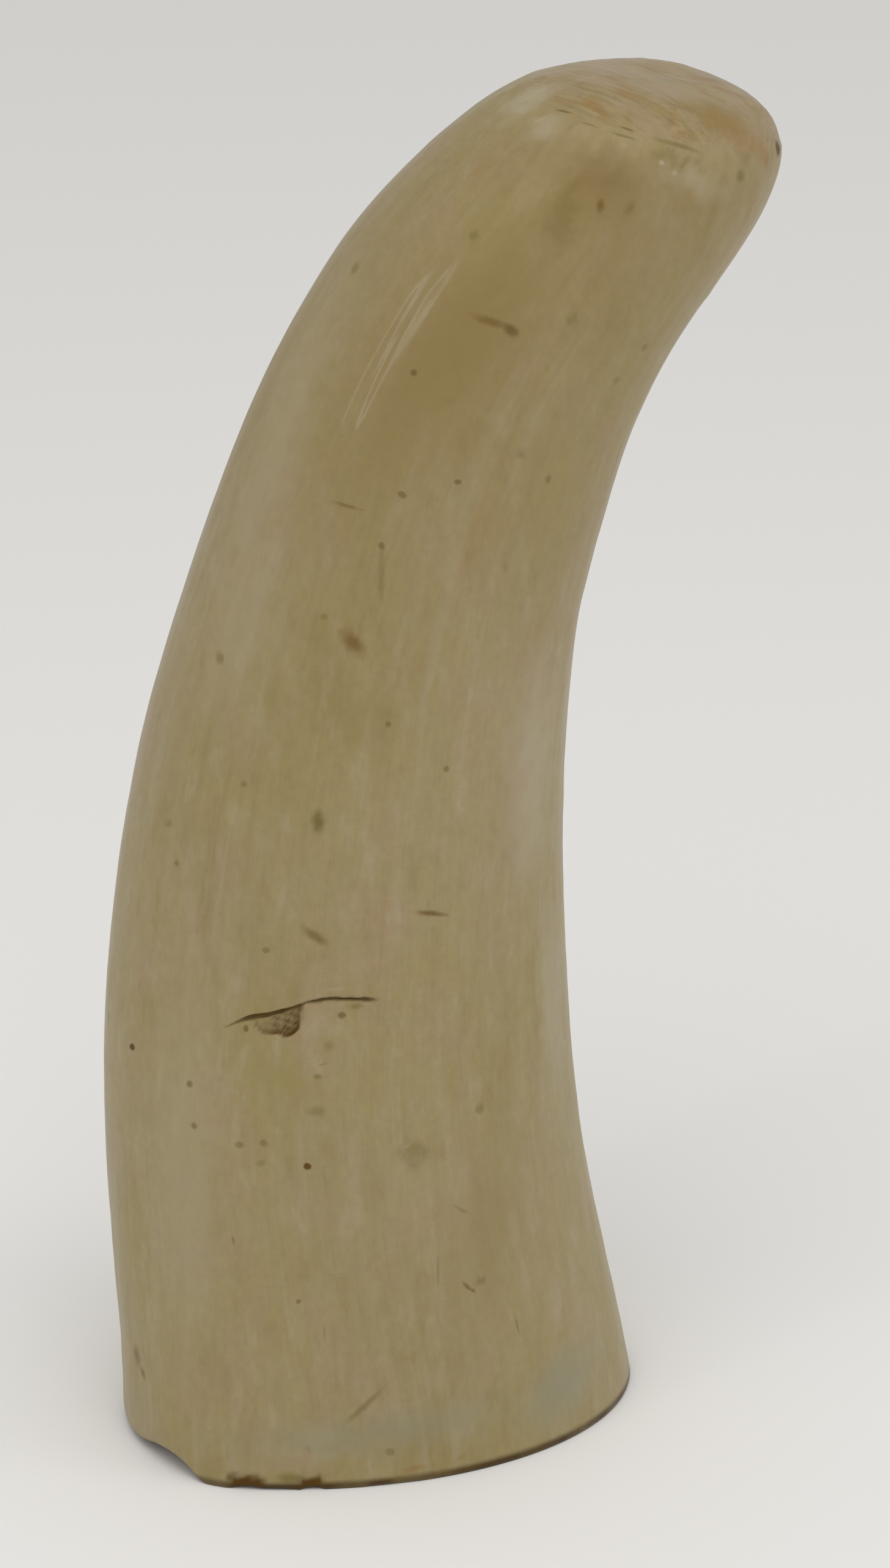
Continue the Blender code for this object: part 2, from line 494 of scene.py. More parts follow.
# Where the rows are, in millimetres up from the rim, and in from it on the root face.
RIM_ROWS = (0.0, 0.08, 0.18, 0.32, 0.5, 0.7, 0.95, 1.2, 1.5, 1.85, 2.25, 2.7, 3.2, 3.7)
WALL_START = 4.2
CRACK_ROWS = (51.4, 55.9)  # where the rows are close together
WALL_STEP, CRACK_STEP, DOME_STEP = 0.57, 0.13, 0.62
HOLLOW_STEP, HOLLOW_DOME_STEP = 1.1, 0.5
FACE_ROWS = (0.15, 0.35, 0.6, 0.9, 1.25, 1.65, 2.1, 2.6, 3.2, 4.0)
FACE_SHARES = (0.16, 0.34, 0.53, 0.7, 0.84, 0.94)  # of the way on from there to the hollow

BITE_TOP_MM = 4.0
BITE_STEP_MM = 0.04
CHIP_SLOPE = 0.25  # how far the rim goes in for each millimetre that is broken away
CHIP_TOP_MM = 2.5  # height at which the wall over a chip is back in its place
RIM_WORK_MM = 6.0  # height over which the wall's rows make room for a notch
BREAK_DEPTH_MM = 3.2  # how far a break runs in from the rim
BREAK_GRAIN_MM = 0.16
CRACK_ROW = 55.0  # the row that runs along the crack
CRACK_WORK_MM = (15.0, 3.0)  # from that row, where rows start to bend and are fully bent
CRACK_WIDTH_MM = 0.5  # the width that the strokes' half widths are for
CRACK_STEP_MM = 0.14  # how far the skin under the crack stands back
FLAKE_DEPTH_MM = 0.6
EDGE_MM = 0.5  # height of the worn edge along the rim
EDGE_INSET_MM = 0.22
MOUTH_EASE_MM = 0.8
MOUTH_EASE_SHARE = 0.5


def spaced(start, stop, step):
    """Even rows from start up to, and without, stop."""
    return np.linspace(start, stop, max(1, round((stop - start) / step)), endpoint=False)


def bearings_round():
    """One bearing per column, closer together at the front. The first is at the back."""
    fine = np.linspace(0.0, math.tau, BEARING_STEPS + 1) + FRONT + math.pi
    density = 1.0 + FRONT_DETAIL * np.cos(fine - FRONT)
    share = np.concatenate([[0.0], np.cumsum((density[1:] + density[:-1]) / 2.0)])
    return np.interp(np.arange(COLUMNS) / COLUMNS, share / share[-1], fine)


def from_notch(notch, bearings, radius, view):
    """How far round the rim from a notch's middle each bearing is, in its half lengths."""
    direction = view.ray(notch.x, notch.y)
    floor_point = view.place - direction * (view.place.z / direction.z)
    bearing = math.atan2(floor_point.y, floor_point.x - BODY_LINE[0].offset * MM)
    apart = (bearings - bearing + math.pi) % math.tau - math.pi
    return apart * radius / notch.half_length


def rim_rise(body, bearings, view):
    """How far the rim is broken away upwards, in millimetres, at each bearing."""
    heights = np.arange(0.0, BITE_TOP_MM, BITE_STEP_MM)
    rows, round_ = np.meshgrid(heights, bearings, indexing="ij")
    inset = EDGE_INSET_MM + CHIP_SLOPE * rows - swelling(rows, round_)
    pixels = view.pixels(body.points(rows, round_, inset=inset))
    across, down = pixels[..., 0], pixels[..., 1]
    edge = np.interp(across, *np.transpose(BITE_EDGE), left=np.inf, right=np.inf)
    facing = np.cos(bearings - FRONT) > FRONT_REACH
    rise = heights[np.argmax(down <= edge, axis=0)] * facing
    rise = soften(rise[None, :], 1, 1)[0]
    radius = body.radius(np.zeros(len(bearings)), bearings)
    for notch in NOTCHES:
        inside = np.clip(1.0 - from_notch(notch, bearings, radius, view) ** 2, 0.0, None)
        rise = np.maximum(rise, notch.rise * inside ** 0.6)
    return rise


def crack_bend(body, skin, view, bearings):
    """How far the rows near the crack move up at each bearing, so that they run along it."""
    at, rows = [], []
    for stroke in CRACK:
        for x, y in stroke.route:
            place = view.on_skin(skin, x, y)[0] / MM
            side = place.x - smooth_through(body.height, body.offset, place.z)
            at.append(math.atan2(place.y, side))
            rows.append(place.z + side * math.tan(smooth_through(body.height, body.lean, place.z)))
    bend = np.interp(bearings, at, rows, period=math.tau) - CRACK_ROW
    return soften(bend[None, :], 3, 1)[0]


def rough(points, size, seed):
    """Smooth random values between about -1 and 1, one per point, features of that size."""
    waves = 9
    rng = np.random.default_rng(seed)
    total = np.zeros(points.shape[:-1])
    for _ in range(waves):
        way = rng.normal(size=3)
        way *= rng.uniform(0.7, 1.6) * math.tau / size / np.linalg.norm(way)
        total += np.sin(points @ way + rng.uniform(0.0, math.tau))
    return total / math.sqrt(waves)


def body_grid(skin, view):
    """The tooth's closed skin as a grid of rows and columns, from the hollow's end to the tip."""
    body = Sweep(skin, BODY_LINE, BODY_READ_FROM_MM, BODY_DOME_ROWS, outside=True)
    hollow = Sweep(skin, HOLLOW_LINE, HOLLOW_READ_FROM_MM, HOLLOW_DOME_ROWS, outside=False)
    bearings = bearings_round()
    rise = rim_rise(body, bearings, view)

    inner_rows = np.concatenate([
        spaced(0.0, hollow.end, HOLLOW_STEP),
        spaced(hollow.end, hollow.last - 0.25, HOLLOW_DOME_STEP),
    ])[::-1]
    rows, round_ = np.meshgrid(inner_rows, bearings, indexing="ij")
    mouth = -MOUTH_EASE_MM * (1.0 - np.clip(rows / MOUTH_EASE_MM, 0.0, 1.0)) ** 2
    inner = hollow.points(rows, round_, inset=mouth * MOUTH_EASE_SHARE)

    outer_rows = np.concatenate([
        RIM_ROWS,
        spaced(WALL_START, CRACK_ROWS[0], WALL_STEP), spaced(*CRACK_ROWS, CRACK_STEP),
        spaced(CRACK_ROWS[1], body.end, WALL_STEP),
        spaced(body.end, body.last - 0.15, DOME_STEP),
    ])
    rows, round_ = np.meshgrid(outer_rows, bearings, indexing="ij")
    bend = crack_bend(body, skin, view, bearings)
    lifted = (
        rows + rise * np.clip(1.0 - rows / RIM_WORK_MM, 0.0, 1.0)
        + bend * eased(np.abs(rows - CRACK_ROW), *CRACK_WORK_MM)
    )
    worn = EDGE_INSET_MM * np.clip(1.0 - rows / EDGE_MM, 0.0, 1.0) ** 2
    chipped = CHIP_SLOPE * rise * np.clip(1.0 - rows / CHIP_TOP_MM, 0.0, 1.0) ** 2
    outer = body.points(lifted, round_, inset=worn + chipped - swelling(lifted, round_))

    rim, lip = outer[0], inner[-1]
    width = np.linalg.norm((rim - lip)[:, :2], axis=1)
    near_rim = np.array(FACE_ROWS)[:, None] / width
    onwards = near_rim[-1] + (1.0 - near_rim[-1]) * np.array(FACE_SHARES)[:, None]
    share = np.concatenate([near_rim, onwards])[::-1]
    face = rim + (lip - rim) * share[..., None]
    run = share * width
    slope = np.clip(1.0 - run / BREAK_DEPTH_MM, 0.0, 1.0) ** 1.4
    face[..., 2] = rise * slope
    grain = rough(face, 1.3, seed=3) * np.clip(rise, 0.0, 1.0) * np.sin(slope * math.pi)
    face[..., 2] = np.maximum(face[..., 2] + BREAK_GRAIN_MM * grain, 0.0)

    points = np.concatenate([inner, face, outer])
    travel = np.concatenate([
        np.repeat(-inner_rows[:, None] - HOLLOW_START_MM, COLUMNS, 1), -run, lifted,
    ])
    part = np.repeat([HOLLOW, FACE, OUTSIDE], (len(inner), len(face), len(outer)))
    tips = np.array([
        hollow.points(np.array(hollow.last), np.array(0.0)),
        body.points(np.array(body.last), np.array(0.0)),
    ])
    return Grid(points, np.repeat(bearings[None, :], len(points), 0), travel, part, rise, run, tips)


HOLLOW, FACE, OUTSIDE = range(3)  # the parts of the skin: pulp hollow, root face and the rest


class Grid(NamedTuple):
    """The skin's points by row and column, and what is known of each."""

    points: np.ndarray
    bearings: np.ndarray
    travel: np.ndarray  # millimetres along the tooth from the rim
    part: np.ndarray  # by row
    rise: np.ndarray  # by column: how far the rim is broken away
    run: np.ndarray  # of the root face's rows: millimetres in from the rim
    tips: np.ndarray  # the closing points: the hollow's end, and the tip


def outward_of(points):
    """The direction out of the skin at each point of the grid."""
    around = np.roll(points, -1, 1) - np.roll(points, 1, 1)
    along = np.gradient(points, axis=0)
    out = np.cross(around, along)
    return out / np.maximum(np.linalg.norm(out, axis=-1, keepdims=True), 1e-9)


def from_route(pixels, route):
    """Each pixel's distance in millimetres from a smooth route of pixels, how far along the
    route (0 to 1) its nearest place is, and its height over that place."""
    at = np.arange(len(route), dtype=float)
    fine = np.linspace(0.0, at[-1], 4 * len(route))
    line = np.stack([smooth_through(at, values, fine) for values in zip(*route)], -1)
    nearest = np.full(pixels.shape[:-1], np.inf)
    along, above = np.zeros_like(nearest), np.zeros_like(nearest)
    for i, (start, end) in enumerate(zip(line, line[1:])):
        way = end - start
        t = np.clip((pixels - start) @ way / (way @ way), 0.0, 1.0)
        gap = (pixels - (start + t[..., None] * way)) / PIXELS_PER_MM
        distance = np.linalg.norm(gap, axis=-1)
        closer = distance < nearest
        nearest = np.where(closer, distance, nearest)
        along = np.where(closer, (i + t) / (len(line) - 1), along)
        above = np.where(closer, -gap[..., 1], above)
    return nearest, along, above


def cut_crack(pixels, points, shape):
    """How far the crack sinks each point that the camera sees, and how dirty it makes it."""
    sink, dirt = np.zeros(pixels.shape[:-1]), np.zeros(pixels.shape[:-1])
    depth = shape.crack_depth / MM
    scale = shape.crack_width / MM / CRACK_WIDTH_MM
    ragged = 1.0 + 0.12 * rough(points, 1.1, seed=31)
    for stroke in CRACK:
        distance, along, above = from_route(pixels, stroke.route)
        taper = eased(along, -0.1, 0.4) * eased(along, 1.05, 0.93)
        reach = stroke.half_width * scale * (0.45 + 0.55 * taper) * ragged
        groove = np.clip(1.0 - distance / reach, 0.0, None)
        sink = np.maximum(sink, depth * taper * groove ** 0.8)
        dirt = np.maximum(dirt, stroke.dirt * eased(groove, -0.1, 0.5) * (0.35 + 0.65 * taper))
        step = CRACK_STEP_MM * taper * eased(above, 0.1, -0.1) * eased(distance, 4.0, 0.0)
        sink = np.maximum(sink, step)
    return sink, dirt


def inside_outline(pixels, outline):
    """Which pixels are inside a closed outline."""
    x, y = pixels[..., 0], pixels[..., 1]
    inside = np.zeros(x.shape, bool)
    for (x0, y0), (x1, y1) in zip(outline, outline[1:] + outline[:1]):
        if y0 != y1:
            crosses = (y0 > y) != (y1 > y)
            inside ^= crosses & (x < x0 + (y - y0) / (y1 - y0) * (x1 - x0))
    return inside


def cut_flake(pixels, points):
    """How far the flake struck off under the crack sinks each point, and how much darker it is
    painted: along the foot of its broken edge and in spots over its floor.
    """
    outline = FLAKE_EDGE + CRACK[0].route[2:]
    inside = inside_outline(pixels, outline)
    distance, along, _ = from_route(pixels, FLAKE_EDGE)
    within = np.where(inside, distance, -distance)
    deep = eased(along, 1.0, 0.5)
    wall = eased(within, -0.05, 0.32)
    sink = FLAKE_DEPTH_MM * wall * (0.25 + 0.75 * deep) * eased(within, 3.4, 0.2)
    spotted = 0.5 + 0.5 * rough(points, 0.7, seed=13)
    # a darker band painted along the foot of the broken edge
    foot = eased(within, 0.75, 0.15) * eased(within, -0.12, 0.06)
    dirt = foot * (0.5 + 0.5 * eased(along, 0.02, 0.3) * eased(along, 1.0, 0.55))
    floor_dirt = inside * eased(within, 0.0, 0.2) * (0.3 + 0.65 * np.clip(spotted, 0.0, 1.0))
    return sink, np.maximum(dirt, floor_dirt * (0.3 + 0.7 * deep))


def notch_dirt(grid, view):
    """How dirty the skin over the notches in the rim is at each point."""
    radius = np.hypot(grid.points[..., 0] - BODY_LINE[0].offset, grid.points[..., 1])
    ragged = 1.0 + 0.1 * rough(grid.points, 1.6, seed=41)
    dirt = np.zeros(radius.shape)
    for notch in NOTCHES:
        if notch.stained:
            away = np.abs(from_notch(notch, grid.bearings, radius, view)) * ragged
            height = grid.points[..., 2] / notch.stained * ragged
            dirt = np.maximum(dirt, eased(away, 1.2, 0.8) * eased(height, 0.8, 0.4))
    return dirt


def skin_axes(view, outward, turn):
    """Two directions along the skin, turned by so many degrees from level as the camera sees it."""
    level = (view.right - outward * view.right.dot(outward)).normalized()
    rising = outward.cross(level)
    angle = math.radians(turn)
    across = level * math.cos(angle) + rising * math.sin(angle)
    return across, outward.cross(across)


def grid_quads(grid):
    rows, columns = grid.points.shape[:2]
    index = np.arange(rows * columns).reshape(rows, columns)
    after = np.roll(index, -1, 1)
    return np.stack([index[:-1], after[:-1], after[1:], index[1:]], -1)


def grid_skin(grid):
    """The outside of the grid as a surface to cast rays at, before anything is cut into it."""
    quads = grid_quads(grid)[grid.part[:-1] == OUTSIDE].reshape(-1, 4)
    return BVHTree.FromPolygons((grid.points.reshape(-1, 3) * MM).tolist(), quads.tolist())


def grid_mesh(grid):
    """One closed mesh from the grid, its two ends drawn together at their closing points."""
    rows, columns = grid.points.shape[:2]
    index = np.arange(rows * columns).reshape(rows, columns)
    after = np.roll(index, -1, 1)
    quads = grid_quads(grid).reshape(-1, 4)
    first, last = rows * columns, rows * columns + 1
    start = np.stack([after[0], index[0], np.full(columns, first)], -1)
    end = np.stack([index[-1], after[-1], np.full(columns, last)], -1)
    corners = np.concatenate([grid.points.reshape(-1, 3), grid.tips]) * MM
    mesh = bpy.data.meshes.new(NODE)
    mesh.from_pydata(corners.tolist(), [], quads.tolist() + start.tolist() + end.tolist())
    mesh.shade_smooth()
    return mesh


def with_ends(values, first, last):
    """The grid's values as one list, with those of the two closing points at its end."""
    return np.concatenate([np.asarray(values, float).reshape(-1), [first, last]])


def set_attribute(mesh, name, values):
    attribute = mesh.attributes.new(name, "FLOAT", "POINT")
    attribute.data.foreach_set("value", values.astype(np.float32))


def set_vectors(mesh, name, values, first, last):
    """Stores a vector for each point, and one for each of the two closing points."""
    rows = np.concatenate([values.reshape(-1, 3), [first, last]])
    attribute = mesh.attributes.new(name, "FLOAT_VECTOR", "POINT")
    attribute.data.foreach_set("vector", rows.astype(np.float32).ravel())


TURN_RADIUS_MM = 25.0


def set_growth(mesh, grid):
    """Stores each point's place in the tooth's own length and round, without a seam."""
    across, back = TURN_RADIUS_MM * np.cos(grid.bearings), TURN_RADIUS_MM * np.sin(grid.bearings)
    growth = np.stack([across, back, grid.travel], -1) * MM
    first, last = ((TURN_RADIUS_MM * MM, 0.0, growth[row, 0, 2]) for row in (0, -1))
    set_vectors(mesh, "growth", growth, first, last)


# Node building


def node(tree, kind, inputs=None, **settings):
    """Adds a node, sets it, and fills its inputs with values or with other nodes' outputs."""
    made = tree.nodes.new(kind)
    for name, value in settings.items():
        setattr(made, name, value)
    for name, value in (inputs or {}).items():
        if isinstance(value, bpy.types.NodeSocket):
            tree.links.new(value, made.inputs[name])
        else:
            made.inputs[name].default_value = value
    return made


def calc(tree, operation, *values, clamp=False):
    """The result of a calculation on numbers."""
    inputs = dict(enumerate(values))
    return node(tree, "ShaderNodeMath", inputs, operation=operation, use_clamp=clamp).outputs[0]


def vector_calc(tree, operation, *values):
    made = node(tree, "ShaderNodeVectorMath", dict(enumerate(values)), operation=operation)
    return made.outputs["Value" if operation == "LENGTH" else "Vector"]


def grey(tree, value):
    """A vector, or a grey, of the same value three times."""
    return node(tree, "ShaderNodeCombineXYZ", {0: value, 1: value, 2: value}).outputs[0]


def ramped(tree, value, low, high, to_low=0.0, to_high=1.0, kind="SMOOTHSTEP"):
    """Follows a value from one range to another, and stays inside the second."""
    inputs = {0: value, 1: low, 2: high, 3: to_low, 4: to_high}
    clamp = kind == "LINEAR"  # a smooth step stays inside its range by itself
    made = node(tree, "ShaderNodeMapRange", inputs, interpolation_type=kind, clamp=clamp)
    return made.outputs[0]


def blended(tree, share, first, second):
    """A colour between two colours."""
    inputs = {0: share, 6: first, 7: second}
    return node(tree, "ShaderNodeMix", inputs, data_type="RGBA").outputs[2]


def noise(tree, place, sizes, detail=2.0, roughness=0.5, seed=0.0):
    """Soft random values from 0 to 1, with features of these sizes in millimetres."""
    scale = tuple(1.0 / (size * MM) for size in sizes)
    shift = (seed * 7.3, seed * -4.1, seed * 5.7)
    moved = vector_calc(tree, "MULTIPLY_ADD", place, scale, shift)
    inputs = {"Vector": moved, "Scale": 1.0, "Detail": detail, "Roughness": roughness}
    return node(tree, "ShaderNodeTexNoise", inputs).outputs[0]


# Relief, in geometry nodes


RELIEF_SIZES = (
    "Flute depth", "Flute width", "Flute length", "Strand depth",
    "Ring depth", "Ring spacing", "Pit depth", "Pit spacing", "Seed",
)
STRAND_WIDTH_MM, STRAND_LENGTH_MM = 1.6, 22.0
RING_ROUND_MM = 60.0  # how far round the tooth a growth ring keeps its shape
PIT_SHARES = (0.17, 0.03)  # of the pits' spacing: where a pit starts, and where it is deepest


def relief_tree():
    """Geometry nodes that raise flutes, grain and growth rings on a skin, and sink pits in it."""
    tree = bpy.data.node_groups.new("Skin relief", "GeometryNodeTree")
    sockets = tree.interface
    sockets.new_socket("Geometry", in_out="INPUT", socket_type="NodeSocketGeometry")
    for name in RELIEF_SIZES:
        sockets.new_socket(name, in_out="INPUT", socket_type="NodeSocketFloat")
    sockets.new_socket("Material", in_out="INPUT", socket_type="NodeSocketMaterial")
    sockets.new_socket("Geometry", in_out="OUTPUT", socket_type="NodeSocketGeometry")
    given = node(tree, "NodeGroupInput").outputs

    def attribute(name, kind):
        made = node(tree, "GeometryNodeInputNamedAttribute", {"Name": name}, data_type=kind)
        return made.outputs["Attribute"]

    growth = attribute("growth", "FLOAT_VECTOR")
    part = node(tree, "ShaderNodeSeparateXYZ", {0: growth}).outputs

    def swing(width, length, seed_step, detail):
        """A random field from -1 to 1, so wide round the tooth and so long along it."""
        place = node(tree, "ShaderNodeCombineXYZ", {
            0: calc(tree, "DIVIDE", part[0], width),
            1: calc(tree, "DIVIDE", part[1], width),
            2: calc(tree, "DIVIDE", part[2], length),
        }).outputs[0]
        seed = calc(tree, "ADD", given["Seed"], seed_step)
        inputs = {"Vector": place, "W": seed, "Scale": 1.0, "Detail": detail}
        made = node(tree, "ShaderNodeTexNoise", inputs, noise_dimensions="4D").outputs[0]
        return calc(tree, "MULTIPLY_ADD", made, 4.0, -2.0)

    flutes = swing(given["Flute width"], given["Flute length"], 0.0, 1.0)
    strands = swing(STRAND_WIDTH_MM * MM, STRAND_LENGTH_MM * MM, 3.7, 2.0)
    rings = swing(RING_ROUND_MM * MM, given["Ring spacing"], 9.1, 1.5)
    place = vector_calc(tree, "DIVIDE", growth, grey(tree, given["Pit spacing"]))
    cells = node(tree, "ShaderNodeTexVoronoi", {"Vector": place, "W": given["Seed"], "Scale": 1.0},
                 voronoi_dimensions="4D")
    pits = ramped(tree, cells.outputs["Distance"], *PIT_SHARES)
    height = calc(tree, "MULTIPLY", flutes, given["Flute depth"])
    height = calc(tree, "MULTIPLY_ADD", strands, given["Strand depth"], height)
    height = calc(tree, "MULTIPLY_ADD", rings, given["Ring depth"], height)
    height = calc(tree, "SUBTRACT", height, calc(tree, "MULTIPLY", pits, given["Pit depth"]))
    height = calc(tree, "MULTIPLY", height, attribute("relief", "FLOAT"))
    offset = node(tree, "ShaderNodeVectorMath", {
        0: node(tree, "GeometryNodeInputNormal").outputs[0], "Scale": height,
    }, operation="SCALE").outputs["Vector"]
    raised = node(tree, "GeometryNodeSetPosition", {
        "Geometry": given["Geometry"], "Offset": offset,
    })
    plain = node(tree, "GeometryNodeRealizeInstances", {"Geometry": raised.outputs[0]})
    dressed = node(tree, "GeometryNodeSetMaterial", {
        "Geometry": plain.outputs[0], "Material": given["Material"],
    })
    node(tree, "NodeGroupOutput", {0: dressed.outputs[0]})
    return tree


def give_relief(piece, shape, material):
    """Runs the relief on the piece, and keeps the result as the piece's plain mesh."""
    tree = relief_tree()
    modifier = piece.modifiers.new("Skin relief", "NODES")
    modifier.node_group = tree
    values = {
        name: float(getattr(shape, name.lower().replace(" ", "_"))) for name in RELIEF_SIZES
    }
    values["Material"] = material
    for socket in tree.interface.items_tree:
        if socket.in_out == "INPUT" and socket.name in values:
            modifier[socket.identifier] = values[socket.name]
    plain_mesh(piece)


def plain_mesh(piece):
    """Replaces the piece's mesh by what its modifiers make of it, and removes them."""
    graph = bpy.context.evaluated_depsgraph_get()
    made = bpy.data.meshes.new_from_object(piece.evaluated_get(graph))
    old = piece.data
    piece.modifiers.clear()
    piece.data = made
    bpy.data.meshes.remove(old)
    made.name = piece.name


# Materials

